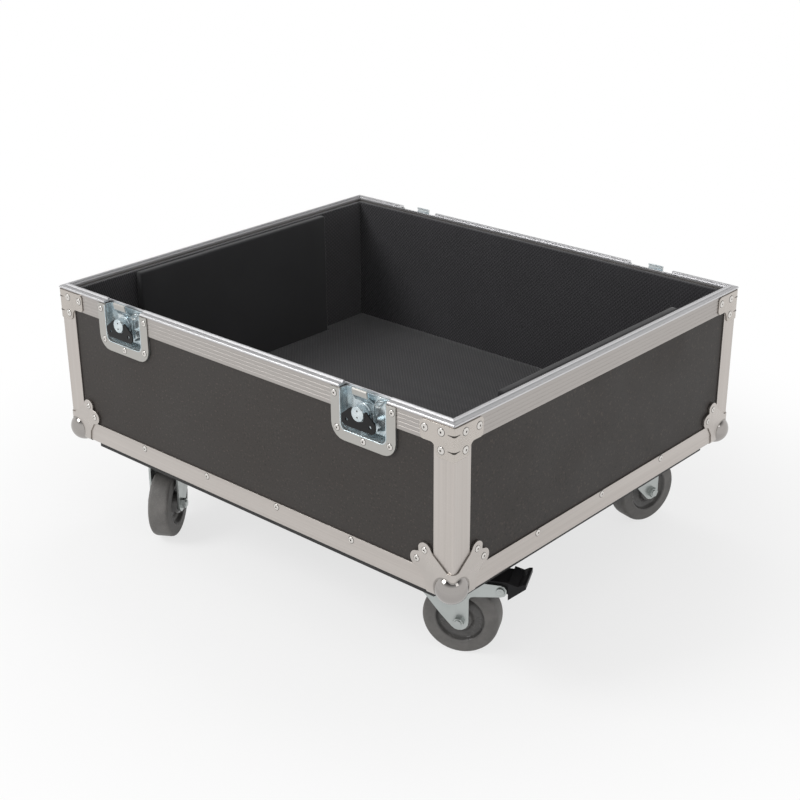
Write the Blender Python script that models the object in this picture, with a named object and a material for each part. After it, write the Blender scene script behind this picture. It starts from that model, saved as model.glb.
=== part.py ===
"""Open speaker flight case on four swivel casters.

Metres, +Z up. The origin is on the floor under the middle of the case. +X runs to the
right along the long front face, and the front looks towards -Y.

Side pieces (rims, bottom angles) are drawn for the front side and turned round the case.
Corner pieces (posts, braces, ball corners) are drawn for the front left corner, where
both insets count from the outer faces inwards, and turned round the same way.
"""

import math

import bmesh
import bpy
from mathutils import Matrix, Vector

MM = 0.001
GAP = 0.3 * MM
ARC_STEPS = 4

# Driving sizes of the case, to the outer faces of its aluminium
CASE_LENGTH = 722 * MM
CASE_WIDTH = 616 * MM
CASE_BOTTOM = 145 * MM
CASTER_TOP = 130 * MM
TRAY_HEIGHT = 224 * MM
SHEET = 1.5 * MM
PANEL = 9.5 * MM

# Angles and rim
ANGLE_LEG = 30 * MM
ANGLE_RADIUS = 2.5 * MM
ANGLE_NIP = 12.5 * MM
RIM_LEG = 26 * MM
RIM_INNER_LEG = 10 * MM
RIM_WEB = 1 * MM
RIM_SHOULDER = 3.6 * MM
RIM_BEAD = 1 * MM
RIM_GROOVES = 4
GROOVE_DEPTH = 0.35 * MM
GROOVE_WIDTH = 1.2 * MM
TONGUE_INSET = 5.6 * MM
TONGUE_WIDTH = 4.4 * MM
TONGUE_TOP = 6.2 * MM
TONGUE_CHAMFER = 1 * MM

# Steel braces at the top corners
BRACE_SHEET = 1.2 * MM
BRACE_RADIUS = 4 * MM
BRACE_ARM = 50 * MM
BRACE_TOP = 223.2 * MM
BRACE_ARM_FOOT = 198.3 * MM
BRACE_FOOT = 181.5 * MM
BRACE_WIDTH = 26 * MM
BRACE_FILLET = 6 * MM
BRACE_CORNER = 5 * MM

# Ball corners
BALL_RADIUS = 20.5 * MM
BALL_INSET = 11.3 * MM
BALL_SHEET = 1.5 * MM
BALL_EDGE_RADIUS = 6 * MM
LOBE_RADIUS = 10 * MM
UPPER_LOBE = (42.5 * MM, 54.5 * MM)
LOWER_LOBE = (54.5 * MM, 40 * MM)
VALLEY = (51.5 * MM, 51 * MM)
NOTCH_HEIGHT = 36 * MM
NOTCH_WIDTH = 8 * MM

# Board under the tray
BOARD_INSET = 14 * MM
BOARD_CLEARANCE = 30 * MM

# Foam inside
LINING = 8 * MM
LINING_DROP = 1 * MM
FLOOR_FOAM = 15 * MM
PAD_THICKNESS = 12 * MM
PAD_LENGTH = 382 * MM

# Recessed twist latches, two on each long side
LATCH_X = 222.5 * MM
DISH_WIDTH = 73.6 * MM
DISH_SHEET = 1.2 * MM
DISH_FOOT = 171 * MM
DISH_RADIUS = 9 * MM
DISH_DRAFT = 2.4 * MM
FLANGE_WIDTH = 103.5 * MM
FLANGE_FOOT = 157.5 * MM
FLANGE_TOP = 223.4 * MM
FLANGE_RADIUS = 20 * MM
BOSS_SHIFT = 5.2 * MM
BOSS_HEIGHT = 200.3 * MM
BOSS_RADIUS = 9.6 * MM
BOSS_FACE = -5.4 * MM
PIN_RADIUS = 4 * MM
HOOK_SHEET = 1.6 * MM
HOOK_HALF = 14.5 * MM
HOOK_NECK = 12 * MM
HOOK_FOOT = -19 * MM
HOOK_TRAVEL = 10 * MM
HANDLE_SHEET = 2 * MM
HANDLE_FACE = -4 * MM
HANDLE_PIN_RADIUS = 1.5 * MM
WING_REACH = 27.2 * MM
WING_HOLE = 2.3 * MM
EYE_X = 22 * MM
EYE_HEIGHT = 218 * MM
EYE_TILT = 28
EYE_OUTER = 5.6 * MM
EYE_INNER = 3.3 * MM
STRIP_HALF = 5.5 * MM
LUG_RADIUS = 4.6 * MM

# Swivel casters
CASTER_X = 253 * MM
CASTER_Y = 215 * MM
WHEEL_RADIUS = 50 * MM
WHEEL_STEPS = 24
TRAIL = 38 * MM
HUB_HALF = 18.2 * MM
TREAD_HALF = 15.6 * MM
WEB_HALF = 10 * MM
FORK_SHEET = 3 * MM
FORK_TOP = 118.7 * MM
AXLE_RADIUS = 5 * MM
NUT_RADIUS = 7.5 * MM
NUT_HEIGHT = 6 * MM
BOLT_REACH = 7.5 * MM
LEG_END_RADIUS = 12.5 * MM
CROWN_REACH = 25 * MM
KINGPIN_RADIUS = 6 * MM
ARM_UNDERSIDE = 88.5 * MM
PEDAL_PIVOT = (90.5 * MM, 101.5 * MM)
PEDAL_PIN_RADIUS = 3 * MM
PIN_HEAD_RADIUS = 5 * MM
PIN_HEAD_HEIGHT = 2.5 * MM

# Derived places
PANEL_OUT = SHEET + GAP
PANEL_IN = PANEL_OUT + PANEL
RIM_IN = PANEL_IN + GAP + SHEET
LINING_OUT = RIM_IN + GAP
LINING_IN = LINING_OUT + LINING
FLOOR_TOP = PANEL_OUT + PANEL
FOAM_FOOT = FLOOR_TOP + GAP
FOAM_TOP = FOAM_FOOT + FLOOR_FOAM
LINING_TOP = TRAY_HEIGHT - LINING_DROP
DISH_BACK = PANEL_IN - GAP
LEG_INNER = HUB_HALF + 0.5 * MM
LEG_OUTER = LEG_INNER + FORK_SHEET
RACEWAY_FOOT = FORK_TOP + GAP
HOOK_BACK = DISH_BACK - DISH_SHEET - 0.6 * MM
HANDLE_AXIS = HANDLE_FACE + HANDLE_SHEET / 2

SIDES = (
    ("front", (0, -CASE_WIDTH / 2), 0, CASE_LENGTH),
    ("right", (CASE_LENGTH / 2, 0), 90, CASE_WIDTH),
    ("back", (0, CASE_WIDTH / 2), 180, CASE_LENGTH),
    ("left", (-CASE_LENGTH / 2, 0), 270, CASE_WIDTH),
)
CORNERS = (
    ("front_left", (-CASE_LENGTH / 2, -CASE_WIDTH / 2), 0),
    ("front_right", (CASE_LENGTH / 2, -CASE_WIDTH / 2), 90),
    ("back_right", (CASE_LENGTH / 2, CASE_WIDTH / 2), 180),
    ("back_left", (-CASE_LENGTH / 2, CASE_WIDTH / 2), 270),
)
LATCHES = (
    ("front_left", -LATCH_X, -CASE_WIDTH / 2, 0),
    ("front_right", LATCH_X, -CASE_WIDTH / 2, 0),
    ("back_right", LATCH_X, CASE_WIDTH / 2, 180),
    ("back_left", -LATCH_X, CASE_WIDTH / 2, 180),
)
# Each caster's heading is the way that its wheel trails, in degrees from +X
CASTERS = (
    ("front_left", -CASTER_X, -CASTER_Y, -58, False),
    ("front_right", CASTER_X, -CASTER_Y, 26, True),
    ("back_right", CASTER_X, CASTER_Y, 76, False),
    ("back_left", -CASTER_X, CASTER_Y, 206, True),
)


def clear_scene():
    for obj in list(bpy.data.objects):
        bpy.data.objects.remove(obj, do_unlink=True)


def make_material(name, colour, roughness, metallic):
    material = bpy.data.materials.new(name)
    material.use_nodes = True
    shader = material.node_tree.nodes["Principled BSDF"]
    shader.inputs["Base Color"].default_value = (*colour, 1)
    shader.inputs["Roughness"].default_value = roughness
    shader.inputs["Metallic"].default_value = metallic
    return material


def add_object(name, mesh, material, location=(0, 0, 0), turn=(0, 0, 0), parent=None, angle=30):
    """One sub-part, shaded smooth up to an edge angle in degrees."""
    mesh.materials.clear()
    mesh.materials.append(material)
    mesh.shade_smooth()
    mesh.set_sharp_from_angle(angle=math.radians(angle))
    obj = bpy.data.objects.new(name, mesh)
    obj.location = location
    obj.rotation_euler = turn
    obj.parent = parent
    bpy.context.scene.collection.objects.link(obj)
    return obj


def add_empty(name, location, turn=(0, 0, 0)):
    empty = bpy.data.objects.new(name, None)
    empty.location = location
    empty.rotation_euler = turn
    bpy.context.scene.collection.objects.link(empty)
    return empty


def finished(bm, name):
    bmesh.ops.recalc_face_normals(bm, faces=bm.faces)
    mesh = bpy.data.meshes.new(name)
    bm.to_mesh(mesh)
    bm.free()
    return mesh


def box(low, high):
    bm = bmesh.new()
    bmesh.ops.create_cube(bm, size=1)
    low = Vector(low)
    high = Vector(high)
    bmesh.ops.scale(bm, vec=high - low, verts=bm.verts)
    bmesh.ops.translate(bm, vec=(low + high) / 2, verts=bm.verts)
    return finished(bm, "box")


def prism(outline, axis, start, end, far_scale=(1, 1, 1), far_centre=(0, 0, 0)):
    """An outline extruded along an axis. The far end may be scaled about a centre."""
    place = {
        "X": lambda p, q, depth: (depth, p, q),
        "Y": lambda p, q, depth: (p, depth, q),
        "Z": lambda p, q, depth: (p, q, depth),
    }[axis]
    bm = bmesh.new()
    face = bm.faces.new([bm.verts.new(place(p, q, start)) for p, q in outline])
    grown = bmesh.ops.extrude_face_region(bm, geom=[face])["geom"]
    moved = [item for item in grown if isinstance(item, bmesh.types.BMVert)]
    bmesh.ops.translate(bm, vec=Vector(place(0, 0, end - start)), verts=moved)
    space = Matrix.Translation(-Vector(far_centre))
    bmesh.ops.scale(bm, vec=far_scale, verts=moved, space=space)
    return finished(bm, "prism")


def mitred_bar(profile, length):
    """A section of (inset, height) points along X, with both ends cut at 45 degrees."""
    half = length / 2 - 0.7 * GAP
    bm = bmesh.new()
    face = bm.faces.new([bm.verts.new((inset - half, inset, height)) for inset, height in profile])
    grown = bmesh.ops.extrude_face_region(bm, geom=[face])["geom"]
    for item in grown:
        if isinstance(item, bmesh.types.BMVert):
            item.co.x = -item.co.x
    return finished(bm, "bar")


def turned(profile, steps, axis="Z", closed=True):
    """A section of (radius, height) points spun round an axis. An open one ends on it."""
    bm = bmesh.new()
    points = [bm.verts.new((radius, 0, height)) for radius, height in profile]
    pairs = list(zip(points, points[1:]))
    if closed:
        pairs.append((points[-1], points[0]))
    edges = [bm.edges.new(pair) for pair in pairs]
    bmesh.ops.spin(
        bm, geom=points + edges, cent=(0, 0, 0), axis=(0, 0, 1),
        angle=math.tau, steps=steps, use_merge=True,
    )
    bmesh.ops.remove_doubles(bm, verts=bm.verts, dist=1e-6)
    quarter = {"X": (0, math.pi / 2, 0), "Y": (-math.pi / 2, 0, 0), "Z": (0, 0, 0)}[axis]
    turn = Matrix.Rotation(quarter[0], 3, "X") @ Matrix.Rotation(quarter[1], 3, "Y")
    bmesh.ops.rotate(bm, cent=(0, 0, 0), matrix=turn, verts=bm.verts)
    return finished(bm, "turned")


def rod(radius, start, end, steps, axis):
    return turned([(0, start), (radius, start), (radius, end), (0, end)], steps, axis, closed=False)


def moved(mesh, offset):
    mesh.transform(Matrix.Translation(offset))
    return mesh


def combined(base, *steps):
    """The mesh after a chain of exact Booleans, given as (operation, mesh) pairs."""
    scene = bpy.context.scene
    body = bpy.data.objects.new("body", base)
    scene.collection.objects.link(body)
    helpers = []
    for operation, mesh in steps:
        helper = bpy.data.objects.new("helper", mesh)
        helper.hide_render = True
        helper.display_type = "WIRE"
        scene.collection.objects.link(helper)
        helpers.append(helper)
        modifier = body.modifiers.new(operation, "BOOLEAN")
        modifier.operation = operation
        modifier.solver = "EXACT"
        modifier.object = helper
    bpy.context.view_layer.update()
    evaluated = body.evaluated_get(bpy.context.evaluated_depsgraph_get())
    result = bpy.data.meshes.new_from_object(evaluated)
    for obj in [body, *helpers]:
        bpy.data.objects.remove(obj)
    return result


def arc(centre, radius, start, end, steps):
    """Points round a centre, from one angle in degrees to another."""
    angles = [math.radians(start + (end - start) * step / steps) for step in range(steps + 1)]
    return [
        (centre[0] + radius * math.cos(angle), centre[1] + radius * math.sin(angle))
        for angle in angles
    ]


def rounded(corners, steps=ARC_STEPS):
    """An outline from (x, y, radius) corners, each rounded by an arc of its radius."""
    points = []
    for index, (x, y, radius) in enumerate(corners):
        corner = Vector((x, y))
        if not radius:
            points.append((x, y))
            continue
        before = (Vector(corners[index - 1][:2]) - corner).normalized()
        after = (Vector(corners[(index + 1) % len(corners)][:2]) - corner).normalized()
        half = before.angle(after) / 2
        centre = corner + (before + after).normalized() * radius / math.sin(half)
        first = corner + before * radius / math.tan(half) - centre
        last = corner + after * radius / math.tan(half) - centre
        start = math.degrees(math.atan2(first.y, first.x))
        sweep = math.degrees(math.atan2(last.y, last.x)) - start
        sweep = (sweep + 180) % 360 - 180
        points += arc(centre, radius, start, start + sweep, steps)
    return points


def rectangle(x0, y0, x1, y1, radius=0):
    return rounded([(x0, y0, radius), (x1, y0, radius), (x1, y1, radius), (x0, y1, radius)])


# Panels


def corner_wedge(depth, side=1):
    """All that lies outside the plane x + y + z = depth, at a corner facing one way in X."""
    out = 8 * MM
    far = depth + 2 * out
    points = [(-out, -out, -out), (far, -out, -out), (-out, far, -out), (-out, -out, far)]
    bm = bmesh.new()
    corners = [bm.verts.new((side * x, y, z)) for x, y, z in points]
    for skipped in range(4):
        bm.faces.new(corners[:skipped] + corners[skipped + 1:])
    return finished(bm, "wedge")


def latch_pocket(centre_x):
    """Cutter for the hole that a dish needs in a long panel, from the rim downwards."""
    half = DISH_WIDTH / 2 + DISH_SHEET + GAP
    foot = DISH_FOOT - DISH_SHEET - GAP
    return box((centre_x - half, -GAP, foot), (centre_x + half, PANEL_IN + GAP, 2 * TRAY_HEIGHT))


def long_panel():
    """Panel of a long side, pocketed for its latches, its lower tips clear of the balls."""
    half = CASE_LENGTH / 2 - PANEL_OUT
    top = TRAY_HEIGHT + RIM_WEB - GAP
    sheet = box((-half, PANEL_OUT, PANEL_OUT), (half, PANEL_IN, top))
    cuts = []
    for side in (1, -1):
        cuts.append(("DIFFERENCE", latch_pocket(side * LATCH_X)))
        tip = moved(corner_wedge(ANGLE_NIP, side), (-side * CASE_LENGTH / 2, 0, 0))
        cuts.append(("DIFFERENCE", tip))
    return combined(sheet, *cuts)


def end_panel():
    half = CASE_WIDTH / 2 - PANEL_IN - GAP
    top = TRAY_HEIGHT + RIM_WEB - GAP
    return box((-half, PANEL_OUT, PANEL_OUT), (half, PANEL_IN, top))


def floor_panel():
    half_x = CASE_LENGTH / 2 - PANEL_IN - GAP
    half_y = CASE_WIDTH / 2 - PANEL_IN - GAP
    return box((-half_x, -half_y, PANEL_OUT), (half_x, half_y, FLOOR_TOP))


# Aluminium extrusions


def rim_profile():
    """Channel over the panel edge, grooved outside, with a lip and the lid's tongue on top."""
    grooves = []
    for number in range(RIM_GROOVES):
        middle = -RIM_LEG * (number + 1) / (RIM_GROOVES + 1)
        grooves = [
            (0, middle - GROOVE_WIDTH / 2),
            (GROOVE_DEPTH, middle),
            (0, middle + GROOVE_WIDTH / 2),
        ] + grooves
    tongue_end = TONGUE_INSET + TONGUE_WIDTH
    shelf = RIM_SHOULDER + 0.6 * MM
    return [
        (0, -RIM_LEG),
        *grooves,
        (0, 0),
        (-RIM_BEAD, RIM_BEAD),
        (-RIM_BEAD, RIM_SHOULDER - 0.8 * MM),
        (-0.2 * RIM_BEAD, RIM_SHOULDER),
        (TONGUE_INSET, shelf),
        (TONGUE_INSET + TONGUE_CHAMFER, TONGUE_TOP),
        (tongue_end - TONGUE_CHAMFER, TONGUE_TOP),
        (tongue_end, TONGUE_TOP - TONGUE_CHAMFER),
        (tongue_end, shelf - 0.6 * MM),
        (RIM_IN, shelf - 1.2 * MM),
        (RIM_IN, -RIM_INNER_LEG),
        (RIM_IN - SHEET, -RIM_INNER_LEG),
        (RIM_IN - SHEET, RIM_WEB),
        (SHEET, RIM_WEB),
        (SHEET, -RIM_LEG),
    ]


def rim_bar(length, notched):
    bar = moved(mitred_bar(rim_profile(), length), (0, 0, TRAY_HEIGHT))
    if not notched:
        return bar
    half = DISH_WIDTH / 2 + DISH_SHEET + GAP
    back = RIM_IN - SHEET
    foot = DISH_FOOT - DISH_SHEET
    notches = [
        ("DIFFERENCE", box((x - half, -9 * MM, foot), (x + half, back, 2 * TRAY_HEIGHT)))
        for x in (-LATCH_X, LATCH_X)
    ]
    return combined(bar, *notches)


def angle_section():
    edge = arc((ANGLE_RADIUS, ANGLE_RADIUS), ANGLE_RADIUS, 270, 180, ARC_STEPS)
    inside = [(SHEET, ANGLE_LEG), (SHEET, SHEET), (ANGLE_LEG, SHEET)]
    return [(ANGLE_LEG, 0), *edge, (0, ANGLE_LEG), *inside]


def ridge_cutter(side=1):
    """What rounds the upright edge where two angles meet, at a corner facing one way in X."""
    out = 5 * MM
    edge = arc((ANGLE_RADIUS, ANGLE_RADIUS), ANGLE_RADIUS, 270, 180, ARC_STEPS)
    outline = [(-out, -out), (ANGLE_RADIUS, -out), *edge, (-out, ANGLE_RADIUS)]
    return prism([(side * x, y) for x, y in outline], "Z", -out, ANGLE_LEG + out)


def bottom_angle(length):
    """Angle under one side, mitred, its tips rounded and nipped off beneath the balls."""
    cuts = []
    for side in (1, -1):
        tip = (-side * length / 2, 0, 0)
        cuts.append(("DIFFERENCE", moved(ridge_cutter(side), tip)))
        cuts.append(("DIFFERENCE", moved(corner_wedge(ANGLE_NIP, side), tip)))
    return combined(mitred_bar(angle_section(), length), *cuts)


def corner_post():
    return prism(angle_section(), "Z", ANGLE_LEG + GAP, TRAY_HEIGHT - RIM_LEG - GAP)


# Steel corner pieces


def corner_brace():
    """Bent steel over the rim and the post: a level arm and a foot on each face."""
    outer = -GAP - BRACE_SHEET
    section = [
        (BRACE_ARM, outer),
        *arc((outer + BRACE_RADIUS, outer + BRACE_RADIUS), BRACE_RADIUS, 270, 180, ARC_STEPS),
        (outer, BRACE_ARM),
        (-GAP, BRACE_ARM),
        (-GAP, -GAP),
        (BRACE_ARM, -GAP),
    ]
    outline = rounded([
        (2 * outer, BRACE_TOP, 0),
        (BRACE_ARM, BRACE_TOP, BRACE_CORNER),
        (BRACE_ARM, BRACE_ARM_FOOT, BRACE_CORNER),
        (ANGLE_LEG + 0.5 * MM, BRACE_ARM_FOOT, BRACE_FILLET),
        (BRACE_WIDTH, BRACE_ARM_FOOT - 8 * MM, BRACE_FILLET),
        (BRACE_WIDTH, BRACE_FOOT, 7 * MM),
        (2 * outer, BRACE_FOOT, 0),
    ], steps=3)
    deep = BRACE_RADIUS + 1 * MM
    faces = combined(
        prism(outline, "Y", 1.5 * outer, deep),
        ("UNION", prism(outline, "X", 1.6 * outer, 1.1 * deep)),
    )
    sheet = prism(section, "Z", BRACE_FOOT - deep, BRACE_TOP + deep)
    return combined(sheet, ("INTERSECT", faces))


def ball_arm():
    """Outline of one arm on its face: a two-lobed diagonal arm between two notches."""
    out = -5 * MM
    return [
        (out, out),
        (out, NOTCH_HEIGHT),
        (NOTCH_WIDTH, NOTCH_HEIGHT),
        (ANGLE_LEG, UPPER_LOBE[1] - 1.5 * MM),
        *arc(UPPER_LOBE, LOBE_RADIUS, 150, 20, 5),
        VALLEY,
        *arc(LOWER_LOBE, LOBE_RADIUS, 70, -80, 5),
        (LOWER_LOBE[0] - 4 * MM, ANGLE_LEG - 2 * MM),
        (NOTCH_HEIGHT + 6 * MM, ANGLE_LEG / 2),
        (NOTCH_HEIGHT + 3 * MM, out),
    ]


def ball_foot():
    """Outline of the corner's underside, round the ball and clear of the board."""
    out = -5 * MM
    centre = (BALL_INSET, BALL_INSET)
    reach = BOARD_CLEARANCE - 7 * MM
    return [(out, out), (NOTCH_HEIGHT, out), *arc(centre, reach, -24, 114, 6), (out, NOTCH_HEIGHT)]


def corner_block(low, radius):
    """Large cube from a low corner, with that corner's three edges rounded."""
    size = 110 * MM
    bm = bmesh.new()
    bmesh.ops.create_cube(bm, size=size)
    bmesh.ops.translate(bm, vec=[low + size / 2] * 3, verts=bm.verts)
    near = min(bm.verts, key=lambda vertex: sum(vertex.co))
    bmesh.ops.bevel(
        bm, geom=list(near.link_edges), offset=radius,
        segments=ARC_STEPS, profile=0.5, affect="EDGES",
    )
    return finished(bm, "block")


def ball(radius):
    bm = bmesh.new()
    bmesh.ops.create_uvsphere(bm, u_segments=18, v_segments=12, radius=radius)
    bmesh.ops.translate(bm, vec=[BALL_INSET] * 3, verts=bm.verts)
    return finished(bm, "ball")


def hugging_solid():
    """What hollows the corner: the case itself, with the lobes let down to the panels."""
    far = 200 * MM
    step = ANGLE_LEG + GAP
    pad = PANEL_OUT - GAP
    return combined(
        corner_block(-GAP, ANGLE_RADIUS + GAP),
        ("DIFFERENCE", corner_wedge(ANGLE_NIP - 1 * MM)),
        ("DIFFERENCE", box((step, -far, step), (far, pad, far))),
        ("DIFFERENCE", box((-far, step, step), (pad, far, far))),
    )


def ball_corner():
    """Pressed steel corner: two lobed arms, a short foot and the ball that they hold."""
    deep = BALL_EDGE_RADIUS + 1 * MM
    shape = combined(
        prism(ball_arm(), "Y", -deep, deep),
        ("UNION", prism(ball_arm(), "X", -1.1 * deep, 1.1 * deep)),
        ("UNION", prism(ball_foot(), "Z", -1.2 * deep, 1.2 * deep)),
    )
    tip = combined(
        box([-2 * deep] * 3, [BALL_INSET] * 3),
        ("DIFFERENCE", ball(BALL_RADIUS - 0.6 * MM)),
    )
    return combined(
        corner_block(-GAP - BALL_SHEET, BALL_EDGE_RADIUS),
        ("INTERSECT", shape),
        ("DIFFERENCE", tip),
        ("UNION", ball(BALL_RADIUS)),
        ("DIFFERENCE", hugging_solid()),
    )


# Board and foam


def wheel_board():
    """Board that carries the casters, its corners cut away round the ball corners."""
    half_x = CASE_LENGTH / 2
    half_y = CASE_WIDTH / 2
    outline = []
    for side_x, side_y, start in ((1, 1, 270), (-1, 1, 0), (-1, -1, 90), (1, -1, 180)):
        centre = (side_x * (half_x - BALL_INSET), side_y * (half_y - BALL_INSET))
        outline += arc(centre, BOARD_CLEARANCE, start, start - 90, 7)
    edged = [
        (
            max(-half_x + BOARD_INSET, min(half_x - BOARD_INSET, x)),
            max(-half_y + BOARD_INSET, min(half_y - BOARD_INSET, y)),
        )
        for x, y in outline
    ]
    return prism(edged, "Z", CASTER_TOP - CASE_BOTTOM + GAP, -GAP)


def lining_ring():
    """Foam round all four walls, thicker below the rim's inner leg."""
    half_x = CASE_LENGTH / 2
    half_y = CASE_WIDTH / 2
    under = TRAY_HEIGHT - RIM_INNER_LEG - GAP
    wide = PANEL_IN + GAP

    def slab(inset, foot, top):
        return box((inset - half_x, inset - half_y, foot), (half_x - inset, half_y - inset, top))

    step = combined(
        slab(PANEL_IN - 5 * MM, under, TRAY_HEIGHT),
        ("DIFFERENCE", slab(LINING_OUT, under - 5 * MM, TRAY_HEIGHT + 5 * MM)),
    )
    return combined(
        slab(wide, FOAM_FOOT, LINING_TOP),
        ("DIFFERENCE", step),
        ("DIFFERENCE", slab(LINING_IN, 0, TRAY_HEIGHT + 5 * MM)),
    )


def floor_foam():
    """Sheet on the floor, cut out at both ends for the feet of the pads."""
    half_x = CASE_LENGTH / 2 - LINING_IN - GAP
    half_y = CASE_WIDTH / 2 - LINING_IN - GAP
    pad_x = half_x - PAD_THICKNESS - GAP
    pad_y = PAD_LENGTH / 2 + GAP
    right_end = [
        (half_x, -half_y),
        (half_x, -pad_y),
        (pad_x, -pad_y),
        (pad_x, pad_y),
        (half_x, pad_y),
        (half_x, half_y),
    ]
    left_end = [(-x, -y) for x, y in right_end]
    return prism(right_end + left_end, "Z", FOAM_FOOT, FOAM_TOP)


def foam_pad():
    """Smooth pad that stands against an end wall, its corners slightly eased."""
    outline = rectangle(-PAD_LENGTH / 2, 0, PAD_LENGTH / 2, PAD_THICKNESS, 3 * MM)
    return prism(outline, "Z", FOAM_FOOT, LINING_TOP - 0.5 * MM)


# Latches, drawn with their face towards -Y: x to the right, y into the case


def latch_dish():
    """Pressed dish open at the top, its flange, and the padlock eye on its floor."""
    front = -GAP - DISH_SHEET
    half_flange = FLANGE_WIDTH / 2
    flange = rounded([
        (-half_flange, FLANGE_TOP, 0),
        (-half_flange, FLANGE_FOOT, FLANGE_RADIUS),
        (half_flange, FLANGE_FOOT, FLANGE_RADIUS),
        (half_flange, FLANGE_TOP, 0),
    ], steps=5)
    below_rim = TRAY_HEIGHT - RIM_LEG - GAP
    pad = [(x, min(z, below_rim)) for x, z in flange]
    half = DISH_WIDTH / 2
    top = TRAY_HEIGHT
    tray = rounded([
        (-half - DISH_SHEET, top, 0),
        (-half - DISH_SHEET, DISH_FOOT - DISH_SHEET, DISH_RADIUS),
        (half + DISH_SHEET, DISH_FOOT - DISH_SHEET, DISH_RADIUS),
        (half + DISH_SHEET, top, 0),
    ], steps=2)
    open_top = top + 20 * MM
    hollow = rounded([
        (-half, open_top, 0),
        (-half, DISH_FOOT, DISH_RADIUS),
        (half, DISH_FOOT, DISH_RADIUS),
        (half, open_top, 0),
    ], steps=3)
    floor = DISH_BACK - DISH_SHEET
    depth = open_top - DISH_FOOT
    narrow = (1 - 2 * DISH_DRAFT / DISH_WIDTH, 1, 1 - 2 * DISH_DRAFT / depth)
    mouth = front - 1 * MM
    tapered = prism(hollow, "Y", mouth, floor, narrow, (0, 0, open_top))
    pin_hole = rod(PIN_RADIUS + GAP, 0, 2 * DISH_BACK, 8, "Y")
    dish = combined(
        prism(flange, "Y", front, -GAP),
        ("UNION", prism(pad, "Y", front + 0.01 * MM, PANEL_OUT - GAP)),
        ("UNION", prism(tray, "Y", front + 0.02 * MM, DISH_BACK)),
        ("DIFFERENCE", tapered),
        ("DIFFERENCE", moved(pin_hole, (-BOSS_SHIFT, 0, BOSS_HEIGHT))),
    )
    return combined(dish, ("UNION", padlock_eye(floor)))


def padlock_eye(floor):
    """Upright strip on the dish floor with two folded lugs and, on top, a tilted ring."""
    ring_y = floor - EYE_OUTER - 0.4 * MM
    foot = DISH_FOOT + 8 * MM
    tilt = Matrix.Rotation(math.radians(EYE_TILT), 4, "X")

    def ring_place(mesh):
        mesh.transform(tilt)
        return moved(mesh, (EYE_X, ring_y, EYE_HEIGHT))

    strip = box(
        (EYE_X - STRIP_HALF, floor - 1.2 * MM, foot),
        (EYE_X + STRIP_HALF, floor + 0.6 * MM, EYE_HEIGHT + 2 * MM),
    )
    neck_half = STRIP_HALF - 0.5 * MM
    neck = box((-neck_half, 0, -0.7 * MM), (neck_half, EYE_OUTER + 0.3 * MM, 0.7 * MM))
    steps = [
        ("UNION", ring_place(neck)),
        ("UNION", ring_place(rod(EYE_OUTER, -0.9 * MM, 0.9 * MM, 12, "Z"))),
        ("DIFFERENCE", ring_place(rod(EYE_INNER, -4 * MM, 4 * MM, 8, "Z"))),
    ]
    for lug_z in (foot + 5 * MM, foot + 20 * MM):
        lug = rod(LUG_RADIUS, -0.8 * MM, 0.8 * MM, 6, "Z")
        steps.append(("UNION", moved(lug, (EYE_X, floor - 3.4 * MM, lug_z))))
    return combined(strip, *steps)


def latch_hook():
    """Draw plate: a slotted flat that leans out above the boss to a turned-back lip."""
    front = HOOK_BACK - HOOK_SHEET
    side = [
        (HOOK_BACK, HOOK_FOOT),
        (HOOK_BACK, 12.6 * MM),
        (1.9 * MM, 21.6 * MM),
        (0.2 * MM, 28.2 * MM),
        (2.4 * MM, 28.7 * MM),
        (2.1 * MM, 30.3 * MM),
        (-0.6 * MM, 30 * MM),
        (-1.5 * MM, 28.4 * MM),
        (0.2 * MM, 20.8 * MM),
        (front, 11.8 * MM),
        (front, HOOK_FOOT),
    ]
    right_edge = [
        (HOOK_HALF, HOOK_FOOT - 2 * MM),
        (HOOK_HALF, 11 * MM),
        (HOOK_NECK, 21 * MM),
        (HOOK_NECK - 0.6 * MM, 33 * MM),
    ]
    left_edge = [(-x, z) for x, z in reversed(right_edge)]
    slot_half = PIN_RADIUS + 0.4 * MM
    slot = rectangle(-slot_half, -slot_half - HOOK_TRAVEL, slot_half, slot_half, slot_half * 0.95)
    return combined(
        prism(side, "X", -16 * MM, 16 * MM),
        ("INTERSECT", prism(right_edge + left_edge, "Y", -5 * MM, 15 * MM)),
        ("DIFFERENCE", prism(slot, "Y", -6 * MM, 16 * MM)),
    )


def latch_spindle():
    """Turned boss and its pin, with a cross hole for the handle's two stubs."""
    collar = HOOK_BACK - HOOK_SHEET - 0.5 * MM
    pin_end = DISH_BACK + 0.1 * MM
    profile = [
        (0, pin_end),
        (PIN_RADIUS, pin_end),
        (PIN_RADIUS, collar),
        (11 * MM, collar),
        (11 * MM, collar - 1.6 * MM),
        (8.4 * MM, collar - 2 * MM),
        (8.4 * MM, collar - 3.4 * MM),
        (BOSS_RADIUS, collar - 3.8 * MM),
        (BOSS_RADIUS, BOSS_FACE + 0.7 * MM),
        (BOSS_RADIUS - 0.7 * MM, BOSS_FACE),
        (0, BOSS_FACE),
    ]
    boss = turned(profile, 14, "Y", closed=False)
    hole = rod(HANDLE_PIN_RADIUS + GAP, -12 * MM, 12 * MM, 6, "X")
    return combined(boss, ("DIFFERENCE", moved(hole, (0, HANDLE_AXIS, 0))))


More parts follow.
